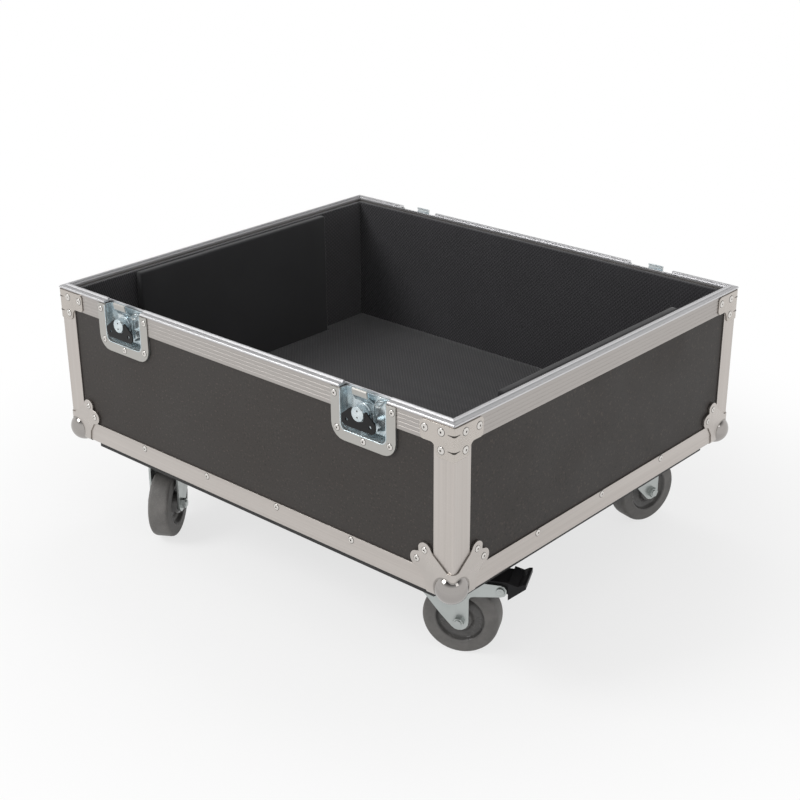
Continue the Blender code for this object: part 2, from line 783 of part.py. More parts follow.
def latch_handle():
    """Winged plate hinged on the boss: its yoke goes round the lower half of the boss."""
    yoke = BOSS_RADIUS + 0.9 * MM
    wing = WING_REACH
    foot = -20.5 * MM
    outline = [
        *arc((0, 0), yoke, 0, -180, 9),
        (-yoke, 3.6 * MM),
        *rounded([
            (-yoke - 1.8 * MM, 5.4 * MM, 1.5 * MM),
            (-wing, -7 * MM, 3 * MM),
            (-wing, -16 * MM, 4 * MM),
            (4.5 * MM - wing, foot, 3 * MM),
            (wing - 4.5 * MM, foot, 3 * MM),
            (wing, -16 * MM, 4 * MM),
            (wing, -7 * MM, 3 * MM),
            (yoke + 1.8 * MM, 5.4 * MM, 1.5 * MM),
        ], steps=2),
        (yoke, 3.6 * MM),
    ]
    half = HANDLE_SHEET / 2
    steps = []
    for side in (-1, 1):
        hole = moved(rod(WING_HOLE, -5 * MM, 5 * MM, 8, "Y"), (side * 19 * MM, 0, -12 * MM))
        steps.append(("DIFFERENCE", hole))
        ends = sorted((side * 7 * MM, side * (yoke + 1 * MM)))
        steps.append(("UNION", rod(HANDLE_PIN_RADIUS, ends[0], ends[1], 6, "X")))
    return combined(prism(outline, "Y", -half, half), *steps)


# Casters, drawn with the swivel axis on Z and the wheel trailing towards +X


def caster_plate():
    """Top plate with its raceway, and the kingpin that holds the fork."""
    head = FORK_TOP - FORK_SHEET
    outline = rectangle(-52 * MM, -42 * MM, 52 * MM, 42 * MM, 9 * MM)
    profile = [
        (0, CASTER_TOP - 2 * MM),
        (29 * MM, CASTER_TOP - 2 * MM),
        (29 * MM, CASTER_TOP - 5 * MM),
        (24 * MM, RACEWAY_FOOT),
        (KINGPIN_RADIUS, RACEWAY_FOOT),
        (KINGPIN_RADIUS, head - GAP),
        (10 * MM, head - GAP),
        (8.5 * MM, head - 4 * MM),
        (0, head - 4 * MM),
    ]
    plate = prism(outline, "Z", CASTER_TOP - 3 * MM, CASTER_TOP)
    return combined(plate, ("UNION", turned(profile, 14, closed=False)))


def fork_leg(braked):
    """Side outline of a leg, and of the brake's arm where there is one."""
    crown = FORK_TOP - 0.5 * MM
    back = TRAIL + LEG_END_RADIUS
    front_edge = [
        (-CROWN_REACH, crown),
        (-CROWN_REACH, crown - 14 * MM),
        (-6 * MM, 83 * MM),
        (13 * MM, 59 * MM),
        *arc((TRAIL, WHEEL_RADIUS), LEG_END_RADIUS, 222, 360, 6),
    ]
    if not braked:
        shoulder = 14 * MM
        centre = (back - shoulder, crown - shoulder)
        return [*front_edge, *arc(centre, shoulder, 0, 90, ARC_STEPS)]
    pivot_radius = 8.2 * MM
    fillet = 6 * MM
    return [
        *front_edge,
        *arc((back + fillet, ARM_UNDERSIDE - fillet), fillet, 180, 96, 3),
        *arc(PEDAL_PIVOT, pivot_radius, -86, 90, 5),
        (back + 4 * MM, PEDAL_PIVOT[1] + pivot_radius),
        (back - 4 * MM, crown),
    ]


def on_both_sides(make, near, far, place=(0, 0, 0)):
    """Union steps for what make(low, high) gives along Y, once on each side."""
    return [("UNION", moved(make(*ends), place)) for ends in ((-far, -near), (near, far))]


def caster_fork(braked):
    """Fork with its crown, both legs, the axle bolt and, on a braked one, the pedal's pin."""
    side = LEG_OUTER - 0.5 * MM
    inside = LEG_OUTER - 1 * MM
    crown_end = TRAIL + 8 * MM
    crown_outline = rounded([
        (-CROWN_REACH, -side, 12 * MM),
        (crown_end, -side, 4 * MM),
        (crown_end, side, 4 * MM),
        (-CROWN_REACH, side, 12 * MM),
    ])
    axle = (TRAIL, 0, WHEEL_RADIUS)
    pivot = (PEDAL_PIVOT[0], 0, PEDAL_PIVOT[1])

    def leg(low, high):
        return prism(fork_leg(braked), "Y", low, high)

    def nut(low, high):
        return rod(NUT_RADIUS, low, high, 6, "Y")

    def pin_head(low, high):
        return rod(PIN_HEAD_RADIUS, low, high, 6, "Y")

    bolt_end = LEG_OUTER + BOLT_REACH
    steps = on_both_sides(leg, LEG_INNER, LEG_OUTER)
    steps.append(("UNION", moved(rod(AXLE_RADIUS, -bolt_end, bolt_end, 8, "Y"), axle)))
    steps += on_both_sides(nut, inside, LEG_OUTER + NUT_HEIGHT, axle)
    if braked:
        steps.append(("UNION", moved(rod(PEDAL_PIN_RADIUS, -inside, inside, 8, "Y"), pivot)))
        steps += on_both_sides(pin_head, inside, LEG_OUTER + PIN_HEAD_HEIGHT, pivot)
    steps.append(("DIFFERENCE", rod(KINGPIN_RADIUS + GAP, 0, 2 * FORK_TOP, 12, "Z")))
    return combined(prism(crown_outline, "Z", FORK_TOP - FORK_SHEET, FORK_TOP), *steps)


def wheel():
    """Solid tyre with a wide tread and dished faces, on a plain bore.

    Its flats lie on the true radius, and one of them faces the floor.
    """
    half_step = math.pi / WHEEL_STEPS
    rim = WHEEL_RADIUS / math.cos(half_step)
    face = [
        (AXLE_RADIUS + 0.5 * MM, HUB_HALF),
        (14.4 * MM, HUB_HALF),
        (16.5 * MM, WEB_HALF + 1 * MM),
        (31 * MM, WEB_HALF),
        (34 * MM, TREAD_HALF),
        (46.5 * MM, TREAD_HALF - 0.4 * MM),
        (rim, 10.5 * MM),
    ]
    profile = face + [(radius, -along) for radius, along in reversed(face)]
    mesh = turned(profile, WHEEL_STEPS, "Y")
    mesh.transform(Matrix.Rotation(half_step, 4, "Y"))
    return mesh


def brake_pedal():
    """Pedal with its hub on the pin, a shoe over the wheel, and a tread with a turned-up toe."""
    hub = [
        *arc((0, 0), 8 * MM, -30, -120, 4),
        (-18.5 * MM, -5 * MM),
        (-18.5 * MM, 9 * MM),
        (-14 * MM, 12 * MM),
        (14 * MM, 12 * MM),
        (14 * MM, -6 * MM),
    ]
    tread = [
        (9.6 * MM, -10.5 * MM),
        (32 * MM, 8.5 * MM),
        (32 * MM, 14.5 * MM),
        (28 * MM, 14.2 * MM),
        (21.5 * MM, 10.4 * MM),
        (9.6 * MM, 13.6 * MM),
    ]
    return combined(
        prism(hub, "Y", -LEG_INNER + 0.5 * MM, LEG_INNER - 0.5 * MM),
        ("UNION", prism(tread, "Y", -LEG_OUTER - 0.8 * MM, LEG_OUTER + 0.8 * MM)),
        ("DIFFERENCE", rod(PEDAL_PIN_RADIUS + GAP, -30 * MM, 30 * MM, 8, "Y")),
    )


# Assembly


def add_panels(laminate, birch):
    for name, (x, y), turn, _ in SIDES:
        mesh = long_panel() if name in ("front", "back") else end_panel()
        add_object(f"panel_{name}", mesh, laminate, (x, y, CASE_BOTTOM), (0, 0, math.radians(turn)))
    add_object("panel_floor", floor_panel(), birch, (0, 0, CASE_BOTTOM))


def add_extrusions(aluminium):
    for name, (x, y), turn, length in SIDES:
        place = (x, y, CASE_BOTTOM)
        facing = (0, 0, math.radians(turn))
        notched = name in ("front", "back")
        add_object(f"rim_{name}", rim_bar(length, notched), aluminium, place, facing)
        add_object(f"bottom_angle_{name}", bottom_angle(length), aluminium, place, facing)
    post = corner_post()
    for name, (x, y), turn in CORNERS:
        add_object(f"post_{name}", post, aluminium, (x, y, CASE_BOTTOM), (0, 0, math.radians(turn)))


def add_corner_steel(steel, nickel):
    brace = corner_brace()
    ball = ball_corner()
    for name, (x, y), turn in CORNERS:
        place = (x, y, CASE_BOTTOM)
        facing = (0, 0, math.radians(turn))
        add_object(f"brace_{name}", brace, steel, place, facing)
        add_object(f"ball_corner_{name}", ball, nickel, place, facing)


def add_foam(textured, smooth, black):
    base = (0, 0, CASE_BOTTOM)
    add_object("wheel_board", wheel_board(), black, base)
    add_object("lining_walls", lining_ring(), textured, base)
    add_object("lining_floor", floor_foam(), textured, base)
    pad = foam_pad()
    inset = CASE_LENGTH / 2 - LINING_IN - GAP
    for name, x, turn in (("left", -inset, -90), ("right", inset, 90)):
        place = (x, 0, CASE_BOTTOM)
        add_object(f"foam_pad_{name}", pad, smooth, place, (0, 0, math.radians(turn)))


def add_latches(zinc, black):
    dish = latch_dish()
    hook = latch_hook()
    spindle = latch_spindle()
    handle = latch_handle()
    for name, x, y, turn in LATCHES:
        frame = add_empty(f"latch_{name}", (x, y, CASE_BOTTOM), (0, 0, math.radians(turn)))
        add_object(f"latch_dish_{name}", dish, zinc, parent=frame)
        boss = (-BOSS_SHIFT, 0, BOSS_HEIGHT)
        add_object(f"latch_hook_{name}", hook, zinc, boss, parent=frame)
        turner = add_object(f"latch_spindle_{name}", spindle, zinc, boss, parent=frame)
        add_object(f"latch_handle_{name}", handle, black, (0, HANDLE_AXIS, 0), parent=turner)


def add_casters(zinc, rubber, plastic):
    plate = caster_plate()
    forks = {braked: caster_fork(braked) for braked in (False, True)}
    tyre = wheel()
    pedal = brake_pedal()
    for name, x, y, heading, braked in CASTERS:
        add_object(f"caster_plate_{name}", plate, zinc, (x, y, 0))
        turn = (0, 0, math.radians(heading))
        fork = add_object(f"fork_{name}", forks[braked], zinc, (x, y, 0), turn)
        add_object(f"wheel_{name}", tyre, rubber, (TRAIL, 0, WHEEL_RADIUS), parent=fork, angle=40)
        if braked:
            place = (PEDAL_PIVOT[0], 0, PEDAL_PIVOT[1])
            add_object(f"brake_pedal_{name}", pedal, plastic, place, parent=fork)


def main():
    clear_scene()
    laminate = make_material("Brown black laminate", (0.055, 0.05, 0.046), 0.55, 0)
    birch = make_material("Floor panel", (0.055, 0.05, 0.046), 0.6, 0)
    aluminium = make_material("Brushed aluminium", (0.62, 0.6, 0.57), 0.35, 1)
    steel = make_material("Plated steel brace", (0.6, 0.57, 0.54), 0.25, 1)
    nickel = make_material("Nickel plated corner", (0.66, 0.64, 0.61), 0.15, 1)
    zinc = make_material("Zinc plated steel", (0.6, 0.64, 0.65), 0.3, 1)
    black_steel = make_material("Black handle", (0.02, 0.02, 0.02), 0.45, 0)
    rubber = make_material("Grey rubber", (0.16, 0.155, 0.15), 0.7, 0)
    plastic = make_material("Black pedal", (0.012, 0.012, 0.013), 0.5, 0)
    board = make_material("Black board", (0.01, 0.01, 0.01), 0.6, 0)
    textured = make_material("Textured foam", (0.02, 0.019, 0.022), 0.85, 0)
    smooth = make_material("Smooth foam", (0.012, 0.012, 0.014), 0.9, 0)
    add_panels(laminate, birch)
    add_extrusions(aluminium)
    add_corner_steel(steel, nickel)
    add_foam(textured, smooth, board)
    add_latches(zinc, black_steel)
    add_casters(zinc, rubber, plastic)


main()
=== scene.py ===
"""Looks of the open speaker flight case: finishes, round stand-ins, rivets, foam and studio.

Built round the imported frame, in metres, +Z up, with the front looking towards -Y.
"""

import math

import bmesh
import bpy
from mathutils import Matrix, Vector, noise


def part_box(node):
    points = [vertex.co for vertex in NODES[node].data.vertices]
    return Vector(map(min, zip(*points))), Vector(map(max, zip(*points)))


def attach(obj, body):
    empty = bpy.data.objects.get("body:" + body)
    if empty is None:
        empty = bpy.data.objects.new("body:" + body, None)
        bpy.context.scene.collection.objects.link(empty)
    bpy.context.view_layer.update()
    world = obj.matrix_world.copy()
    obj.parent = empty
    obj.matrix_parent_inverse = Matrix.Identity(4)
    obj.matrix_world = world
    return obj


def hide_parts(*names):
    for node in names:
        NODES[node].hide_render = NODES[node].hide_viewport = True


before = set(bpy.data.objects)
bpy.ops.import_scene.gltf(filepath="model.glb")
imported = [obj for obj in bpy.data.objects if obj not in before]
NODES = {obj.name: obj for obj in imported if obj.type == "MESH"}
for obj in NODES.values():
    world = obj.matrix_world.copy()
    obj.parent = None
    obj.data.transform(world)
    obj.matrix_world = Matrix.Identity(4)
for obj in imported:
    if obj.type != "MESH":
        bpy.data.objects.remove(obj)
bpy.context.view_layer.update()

MM = 0.001

# Sizes shared with the CAD, to the outer faces of the aluminium
CASE_LENGTH = 722 * MM
CASE_WIDTH = 616 * MM
CASE_BOTTOM = 145 * MM
RIM_TOP = CASE_BOTTOM + 224.3 * MM
ANGLE_LEG = 30 * MM
ANGLE_RADIUS = 2.5 * MM
ANGLE_NIP = 12.5 * MM
PANEL_OUT = 1.8 * MM
GAP = 0.3 * MM
BRACE_FACE = -1.5 * MM
BALL_RADIUS = 20.5 * MM
BALL_INSET = 11.3 * MM
BALL_SHEET = 1.5 * MM
BALL_EDGE_RADIUS = 6 * MM
BOARD_CLEARANCE = 30 * MM
LOBE_RADIUS = 10 * MM
UPPER_LOBE = (42.5 * MM, 54.5 * MM)
LOWER_LOBE = (54.5 * MM, 40 * MM)
VALLEY = (51.5 * MM, 51 * MM)
NOTCH_HEIGHT = 36 * MM
NOTCH_WIDTH = 8 * MM
PADDING_INSET = 13.4 * MM
WALL_FOAM = 8 * MM
FOAM_FOOT = 11.6 * MM
FOAM_TOP = 223 * MM
LATCH_X = 222.5 * MM
FLANGE_FACE = -1.5 * MM
BOSS_FACE = -5.4 * MM
BOSS_RADIUS = 9.6 * MM
BOSS_SHIFT = 5.2 * MM
BOSS_HEIGHT = 200.3 * MM
HANDLE_AXIS = -3 * MM
STUB_HOLE = 1.8 * MM
EYE_PLACE = (22 * MM, 3.8 * MM, 218 * MM)
EYE_TILT = 28
CASTER_X = 253 * MM
CASTER_Y = 215 * MM
TRAIL = 38 * MM
WHEEL_RADIUS = 50 * MM
HUB_HALF = 18.2 * MM
PLATE_UNDERSIDE = 127 * MM
PEDAL_PIN = (90.5 * MM, 101.5 * MM)
LEG_OUTER = 21.7 * MM

# Rivets, as (x, z) from a corner of the case, from the middle of a latch, or along a side
BRACE_RIVETS = ((18.2 * MM, 214.2 * MM), (42.8 * MM, 213.3 * MM), (18.3 * MM, 191.3 * MM))
FLANGE_RIVETS = (
    (-46 * MM, 215.5 * MM), (46 * MM, 215.5 * MM),
    (-42.5 * MM, 171.5 * MM), (42.5 * MM, 171.5 * MM), (0, 165 * MM),
)
LONG_ROW = [(CASE_LENGTH / 2 - inset * MM, 23.8 * MM) for inset in (163, 295, 429, 559)]
SHORT_ROW = [(inset * MM - CASE_WIDTH / 2, 25 * MM) for inset in (164, 302, 443)]
CRATER_RADIUS = 1.18 * MM
RIVET_STEPS = 28

# Bolts of a caster, from the middle of its top plate
PLATE_BOLTS = ((41 * MM, 31 * MM), (-41 * MM, 31 * MM), (-41 * MM, -31 * MM), (41 * MM, -31 * MM))

# Stamped dents in the braces: their heights, and how far they reach round the ridge
DENT_HEIGHTS = (213.4 * MM, 193 * MM)
DENT_REACH = 8.5 * MM

# Seed of the foam's unevenness, which would come from the clock otherwise
FOAM_SEED = 5

# Strength of the world: on surfaces, and of the ceiling over a white backdrop
AMBIENT = 0.6
CEILING = 0.1

# Degrees above the horizon between which the backdrop turns into the ceiling
BACKDROP_TOP = 18
CEILING_FOOT = 52

# The floor: half its side, and the distances between which it turns from part to wholly white
FLOOR_REACH = 15
FLOOR_PART = 0.72
FLOOR_SHADED = 0.45
FLOOR_WHITE = 0.95

# Lamps: name, place, width, height and watts. Each one is aimed at LAMP_AIM
LAMP_AIM = (0, 0, 0.2)
LAMPS = (
    ("key", (-1.5, -2.3, 2.5), 1.5, 1.1, 50),
    ("side", (2.9, -0.4, 2.2), 1.0, 1.0, 5),
    ("top", (-0.4, 0.9, 2.8), 1.4, 0.8, 8),
)

# The camera solved from the photograph, in degrees, pixels and metres
AZIMUTH, ELEVATION, ROLL = 41.862, 23.596, -0.360
FOCAL_PIXELS = 1464.559
PICTURE_PIXELS = 800
SENSOR_WIDTH = 36
CAMERA_AIM = (0, 0, 0.145)
CAMERA_BACK, CAMERA_ACROSS, CAMERA_UP = 2.140564, 0.003205, 0.048668

CORNERS = (
    ("front_left", (-CASE_LENGTH / 2, -CASE_WIDTH / 2), 0),
    ("front_right", (CASE_LENGTH / 2, -CASE_WIDTH / 2), 90),
    ("back_right", (CASE_LENGTH / 2, CASE_WIDTH / 2), 180),
    ("back_left", (-CASE_LENGTH / 2, CASE_WIDTH / 2), 270),
)
SIDES = (
    ("front", (0, -CASE_WIDTH / 2), 0, CASE_LENGTH),
    ("right", (CASE_LENGTH / 2, 0), 90, CASE_WIDTH),
    ("back", (0, CASE_WIDTH / 2), 180, CASE_LENGTH),
    ("left", (-CASE_LENGTH / 2, 0), 270, CASE_WIDTH),
)
LATCHES = (
    ("front_left", -LATCH_X, -CASE_WIDTH / 2, 0),
    ("front_right", LATCH_X, -CASE_WIDTH / 2, 0),
    ("back_right", LATCH_X, CASE_WIDTH / 2, 180),
    ("back_left", -LATCH_X, CASE_WIDTH / 2, 180),
)
CASTERS = (
    ("front_left", -CASTER_X, -CASTER_Y, -58),
    ("front_right", CASTER_X, -CASTER_Y, 26),
    ("back_right", CASTER_X, CASTER_Y, 76),
    ("back_left", -CASTER_X, CASTER_Y, 206),
)
BRAKED = ("front_right", "back_left")


# Mesh helpers


def finished(bm, name):
    """A mesh from a bmesh, its faces looking outward."""
    bmesh.ops.recalc_face_normals(bm, faces=bm.faces)
    mesh = bpy.data.meshes.new(name)
    bm.to_mesh(mesh)
    bm.free()
    return mesh


def prism(outline, axis, start, end):
    """An outline drawn across an axis and pushed along it from start to end."""
    place = {
        "X": lambda p, q, depth: (depth, p, q),
        "Y": lambda p, q, depth: (p, depth, q),
        "Z": lambda p, q, depth: (p, q, depth),
    }[axis]
    bm = bmesh.new()
    face = bm.faces.new([bm.verts.new(place(p, q, start)) for p, q in outline])
    grown = bmesh.ops.extrude_face_region(bm, geom=[face])["geom"]
    ends = [item for item in grown if isinstance(item, bmesh.types.BMVert)]
    bmesh.ops.translate(bm, vec=Vector(place(0, 0, end - start)), verts=ends)
    return finished(bm, "prism")


def box(low, high):
    bm = bmesh.new()
    bmesh.ops.create_cube(bm, size=1)
    low = Vector(low)
    high = Vector(high)
    bmesh.ops.scale(bm, vec=high - low, verts=bm.verts)
    bmesh.ops.translate(bm, vec=(low + high) / 2, verts=bm.verts)
    return finished(bm, "box")


def turned(profile, steps, axis="Z", closed=False):
    """A section of (radius, height) points spun round an axis. An open one ends on it."""
    bm = bmesh.new()
    points = [bm.verts.new((radius, 0, height)) for radius, height in profile]
    pairs = list(zip(points, points[1:]))
    if closed:
        pairs.append((points[-1], points[0]))
    edges = [bm.edges.new(pair) for pair in pairs]
    bmesh.ops.spin(
        bm, geom=points + edges, cent=(0, 0, 0), axis=(0, 0, 1),
        angle=math.tau, steps=steps, use_merge=True,
    )
    bmesh.ops.remove_doubles(bm, verts=bm.verts, dist=1e-6)
    if axis == "Y":
        turn = Matrix.Rotation(-math.pi / 2, 3, "X")
        bmesh.ops.rotate(bm, cent=(0, 0, 0), matrix=turn, verts=bm.verts)
    return finished(bm, "turned")


def moved(mesh, offset):
    mesh.transform(Matrix.Translation(offset))
    return mesh


def combined(base, *steps):
    """The mesh after a chain of exact Booleans, given as (operation, mesh) pairs."""
    scene = bpy.context.scene
    body = bpy.data.objects.new("body", base)
    scene.collection.objects.link(body)
    helpers = []
    for operation, mesh in steps:
        helper = bpy.data.objects.new("helper", mesh)
        scene.collection.objects.link(helper)
        helpers.append(helper)
        modifier = body.modifiers.new(operation, "BOOLEAN")
        modifier.operation = operation
        modifier.solver = "EXACT"
        modifier.object = helper
    bpy.context.view_layer.update()
    evaluated = body.evaluated_get(bpy.context.evaluated_depsgraph_get())
    result = bpy.data.meshes.new_from_object(evaluated)
    for obj in [body, *helpers]:
        bpy.data.objects.remove(obj)
    return result


def joined(meshes, name):
    """One mesh from several."""
    bm = bmesh.new()
    for mesh in meshes:
        bm.from_mesh(mesh)
    result = bpy.data.meshes.new(name)
    bm.to_mesh(result)
    bm.free()
    return result


def arc(centre, radius, start, end, steps):
    """Points on a circle, between two angles in degrees."""
    angles = [math.radians(start + (end - start) * step / steps) for step in range(steps + 1)]
    return [
        (centre[0] + radius * math.cos(angle), centre[1] + radius * math.sin(angle))
        for angle in angles
    ]


def placement(place, turn):
    """A place, and a turn about Z in degrees."""
    return Matrix.Translation(Vector(place)) @ Matrix.Rotation(math.radians(turn), 4, "Z")


def piece(name, mesh, material, body, matrix=None, angle=35, bevel=0.0):
    """A shown piece that rides on a body and takes its finish from a slot."""
    mesh.materials.clear()
    mesh.materials.append(material)
    mesh.shade_smooth()
    mesh.set_sharp_from_angle(angle=math.radians(angle))
    obj = bpy.data.objects.new(name, mesh)
    bpy.context.scene.collection.objects.link(obj)
    if matrix is not None:
        obj.matrix_world = matrix
    if bevel:
        soften(obj, bevel)
    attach(obj, body)
    return obj


def soften(obj, width):
    """Narrow rounded edges."""
    modifier = obj.modifiers.new("edges", "BEVEL")
    modifier.width = width
    modifier.segments = 2
    modifier.limit_method = "ANGLE"
    modifier.angle_limit = math.radians(40)
    modifier.harden_normals = True
    modifier.use_clamp_overlap = True


# Finishes


class Nodes:
    """Short calls for the nodes of a tree."""

    def __init__(self, tree):
        self.tree = tree

    def feed(self, socket, value):
        if isinstance(value, bpy.types.NodeSocket):
            self.tree.links.new(value, socket)
        else:
            socket.default_value = value

    def add(self, kind, inputs, output=0, **settings):
        node = self.tree.nodes.new(kind)
        for key, value in settings.items():
            setattr(node, key, value)
        for key, value in inputs.items():
            self.feed(node.inputs[key], value)
        return node.outputs[output]

    def maths(self, operation, a, b=0.0, c=0.0):
        return self.add("ShaderNodeMath", {0: a, 1: b, 2: c}, operation=operation)

    def between(self, value, low, high, out_low=0.0, out_high=1.0):
        """Smooth step of a value, from one range to another."""
        inputs = {
            "Value": value,
            "From Min": low,
            "From Max": high,
            "To Min": out_low,
            "To Max": out_high,
        }
        return self.add("ShaderNodeMapRange", inputs, interpolation_type="SMOOTHSTEP")


class Finish(Nodes):
    """A material, with short calls for what feeds its shader."""

    def __init__(self, name, colour, roughness, metallic=0.0):
        self.material = bpy.data.materials.new(name)
        self.material.use_nodes = True
        super().__init__(self.material.node_tree)
        self.shader = self.tree.nodes["Principled BSDF"]
        self.set("Base Color", (*colour, 1))
        self.set("Roughness", roughness)
        self.set("Metallic", metallic)

    def set(self, socket, value):
        self.feed(self.shader.inputs[socket], value)

    def source(self, socket):
        """What feeds a socket of the shader so far."""
        return self.shader.inputs[socket].links[0].from_socket

    def place(self):
        return self.add("ShaderNodeTexCoord", {}, "Object")

    def stretched(self, scale, turn=(0, 0, 0)):
        inputs = {"Vector": self.place(), "Scale": scale, "Rotation": turn}
        return self.add("ShaderNodeMapping", inputs)

    def noise(self, scale, detail=2.0, vector=None, rough=0.5):
        vector = vector or self.place()
        inputs = {"Vector": vector, "Scale": scale, "Detail": detail, "Roughness": rough}
        return self.add("ShaderNodeTexNoise", inputs)

    def cells(self, scale):
        """Distance to the nearest of the points strewn at a scale."""
        inputs = {"Vector": self.place(), "Scale": scale, "Randomness": 1.0}
        return self.add("ShaderNodeTexVoronoi", inputs, "Distance")

    def soft_edge(self, radius, samples=4):
        return self.add("ShaderNodeBevel", {"Radius": radius}, samples=samples)

    def blend(self, share, first, second):
        node = self.tree.nodes.new("ShaderNodeMix")
        node.data_type = "RGBA"
        self.feed(node.inputs["Factor"], share)
        for socket, value in (("A", first), ("B", second)):
            target = [i for i in node.inputs if i.name == socket and i.type == "RGBA"][0]
            self.feed(target, value if isinstance(value, bpy.types.NodeSocket) else (*value, 1))
        return [o for o in node.outputs if o.type == "RGBA"][0]

    def bump(self, height, distance, normal=None, strength=1.0):
        inputs = {"Height": height, "Distance": distance, "Strength": strength}
        if normal is not None:
            inputs["Normal"] = normal
        return self.add("ShaderNodeBump", inputs)

    def split(self, vector=None):
        node = self.tree.nodes.new("ShaderNodeSeparateXYZ")
        self.tree.links.new(vector or self.place(), node.inputs[0])
        return node.outputs

    def reach(self, first, second):
        """Distance from an axis, from the two coordinates across it."""
        squares = [self.maths("MULTIPLY", value, value) for value in (first, second)]
        return self.maths("SQRT", self.maths("ADD", *squares))


def scratches(finish, scale=60.0, width=0.012):
    """Mask of fine hairline scratches that cross each other."""
    lines = None
    for turn in ((0.3, 0.2, 0.5), (1.1, 0.7, 2.0)):
        streaks = finish.noise(scale, 1.0, finish.stretched((1, 9, 9), turn))
        near = finish.maths("ABSOLUTE", finish.maths("SUBTRACT", streaks, 0.5))
        line = finish.between(near, 0.0, width, 1.0, 0.0)
        lines = line if lines is None else finish.maths("MAXIMUM", lines, line)
    patches = finish.between(finish.noise(9.0, 2.0), 0.45, 0.62)
    return finish.maths("MULTIPLY", lines, patches)


def brushed_aluminium(axis):
    """Satin extrusion with drawn lines along one axis, painted shade on the grooved rim and a
    painted highlight on its lip.
    """
    finish = Finish(f"aluminium_along_{axis}", (0.53, 0.492, 0.462), 0.36, 1.0)
    along = [2.5 if letter == axis else 420 for letter in "xyz"]
    wide = [0.8 if letter == axis else 90 for letter in "xyz"]
    drawn = finish.noise(1.0, 3.0, finish.stretched(along), 0.6)
    bands = finish.noise(1.0, 2.0, finish.stretched(wide))
    cloud = finish.noise(14.0, 3.0)
    colour = finish.blend(finish.between(drawn, 0.3, 0.7), (0.5, 0.463, 0.434), (0.56, 0.52, 0.489))
    colour = finish.blend(finish.between(bands, 0.35, 0.65, 0, 0.35), colour, (0.6, 0.566, 0.537))
    marks = scratches(finish)
    colour = finish.blend(finish.maths("MULTIPLY", marks, 0.18), colour, (0.7, 0.68, 0.655))
    height = finish.split()[2]
    if axis != "z":
        # Painted shade: the rim, from about 50 mm under its top, is darker, standing in for the
        # shade in its grooves.
        rim = finish.between(height, RIM_TOP - 60 * MM, RIM_TOP - 50 * MM, 0, 0.6)
        colour = finish.blend(rim, colour, (0.355, 0.338, 0.325))
    # Painted highlight: the top of the lip is lighter and bluer, as if lit from above.
    painted_lip_highlight = finish.between(height, RIM_TOP, RIM_TOP + 0.4 * MM)
    colour = finish.blend(finish.maths("MULTIPLY", painted_lip_highlight, 0.75), colour, (0.7, 0.705, 0.725))
    finish.set("Base Color", colour)
    uneven = finish.maths("ADD", drawn, finish.maths("MULTIPLY", cloud, 0.4))
    finish.set("Roughness", finish.between(uneven, 0.4, 1.0, 0.34, 0.44))
    finish.set("Normal", finish.bump(drawn, 0.02 * MM, finish.soft_edge(0.5 * MM), 0.35))
    return finish.material


def plated(name, colour, roughness, dirt=0.25, scale=1.0):
    """Plated steel with a mottled bloom, hairlines and a softened edge."""
    finish = Finish(name, colour, roughness, 1.0)
    bloom = finish.noise(26.0 * scale, 4.0, rough=0.6)
    fine = finish.noise(700.0, 2.0)
    dark = tuple(0.8 * c for c in colour)
    light = tuple(1.25 * c for c in colour)
    tone = finish.blend(finish.between(bloom, 0.38, 0.7, 0, dirt), colour, dark)
    marks = scratches(finish, 90.0)
    tone = finish.blend(finish.maths("MULTIPLY", marks, 0.25), tone, light)
    finish.set("Base Color", tone)
    spread = finish.between(bloom, 0.35, 0.75, roughness - 0.05, roughness + 0.1)
    finish.set("Roughness", finish.maths("ADD", spread, finish.maths("MULTIPLY", marks, 0.12)))
    finish.set("Normal", finish.bump(fine, 0.02 * MM, finish.soft_edge(0.5 * MM), 0.5))
    return finish


def panel_laminate():
    """Brown black laminate: pebbled, with light and rusty flecks and a dusty bloom."""
    finish = Finish("laminate", (0.038, 0.033, 0.03), 0.6)
    finish.set("Specular IOR Level", 0.35)
    pebble = finish.cells(620.0)
    grain = finish.noise(1500.0, 2.0)
    cloud = finish.noise(7.0, 4.0, rough=0.55)
    fleck = finish.noise(330.0, 1.0)
    low, high = (0.0305, 0.0262, 0.0235), (0.0385, 0.0333, 0.0302)
    colour = finish.blend(finish.between(cloud, 0.3, 0.7), low, high)
    colour = finish.blend(finish.between(grain, 0.35, 0.7, 0, 0.4), colour, (0.056, 0.05, 0.0452))
    colour = finish.blend(finish.between(fleck, 0.62, 0.72, 0, 0.6), colour, (0.088, 0.07, 0.058))
    colour = finish.blend(finish.between(fleck, 0.38, 0.29, 0, 0.6), colour, (0.018, 0.017, 0.016))
    marks = scratches(finish, 34.0, 0.006)
    colour = finish.blend(finish.maths("MULTIPLY", marks, 0.3), colour, (0.11, 0.105, 0.1))
    finish.set("Base Color", colour)
    finish.set("Roughness", finish.between(cloud, 0.3, 0.7, 0.52, 0.66))
    lift = finish.bump(pebble, 0.12 * MM, strength=0.5)
    finish.set("Normal", finish.bump(grain, 0.04 * MM, lift, 0.4))
    return finish.material


def painted_board():
    """Black painted plywood, its fibres showing, with some dust."""
    finish = Finish("black_board", (0.012, 0.012, 0.012), 0.55)
    fibre = finish.noise(1.0, 3.0, finish.stretched((40, 40, 900)), 0.6)
    dust = finish.noise(18.0, 5.0, rough=0.65)
    dusty = finish.between(dust, 0.45, 0.75, 0, 0.6)
    finish.set("Base Color", finish.blend(dusty, (0.01, 0.01, 0.01), (0.032, 0.03, 0.028)))
    finish.set("Roughness", finish.between(fibre, 0.3, 0.7, 0.45, 0.65))
    finish.set("Normal", finish.bump(fibre, 0.1 * MM, finish.soft_edge(0.8 * MM), 0.4))
    return finish.material


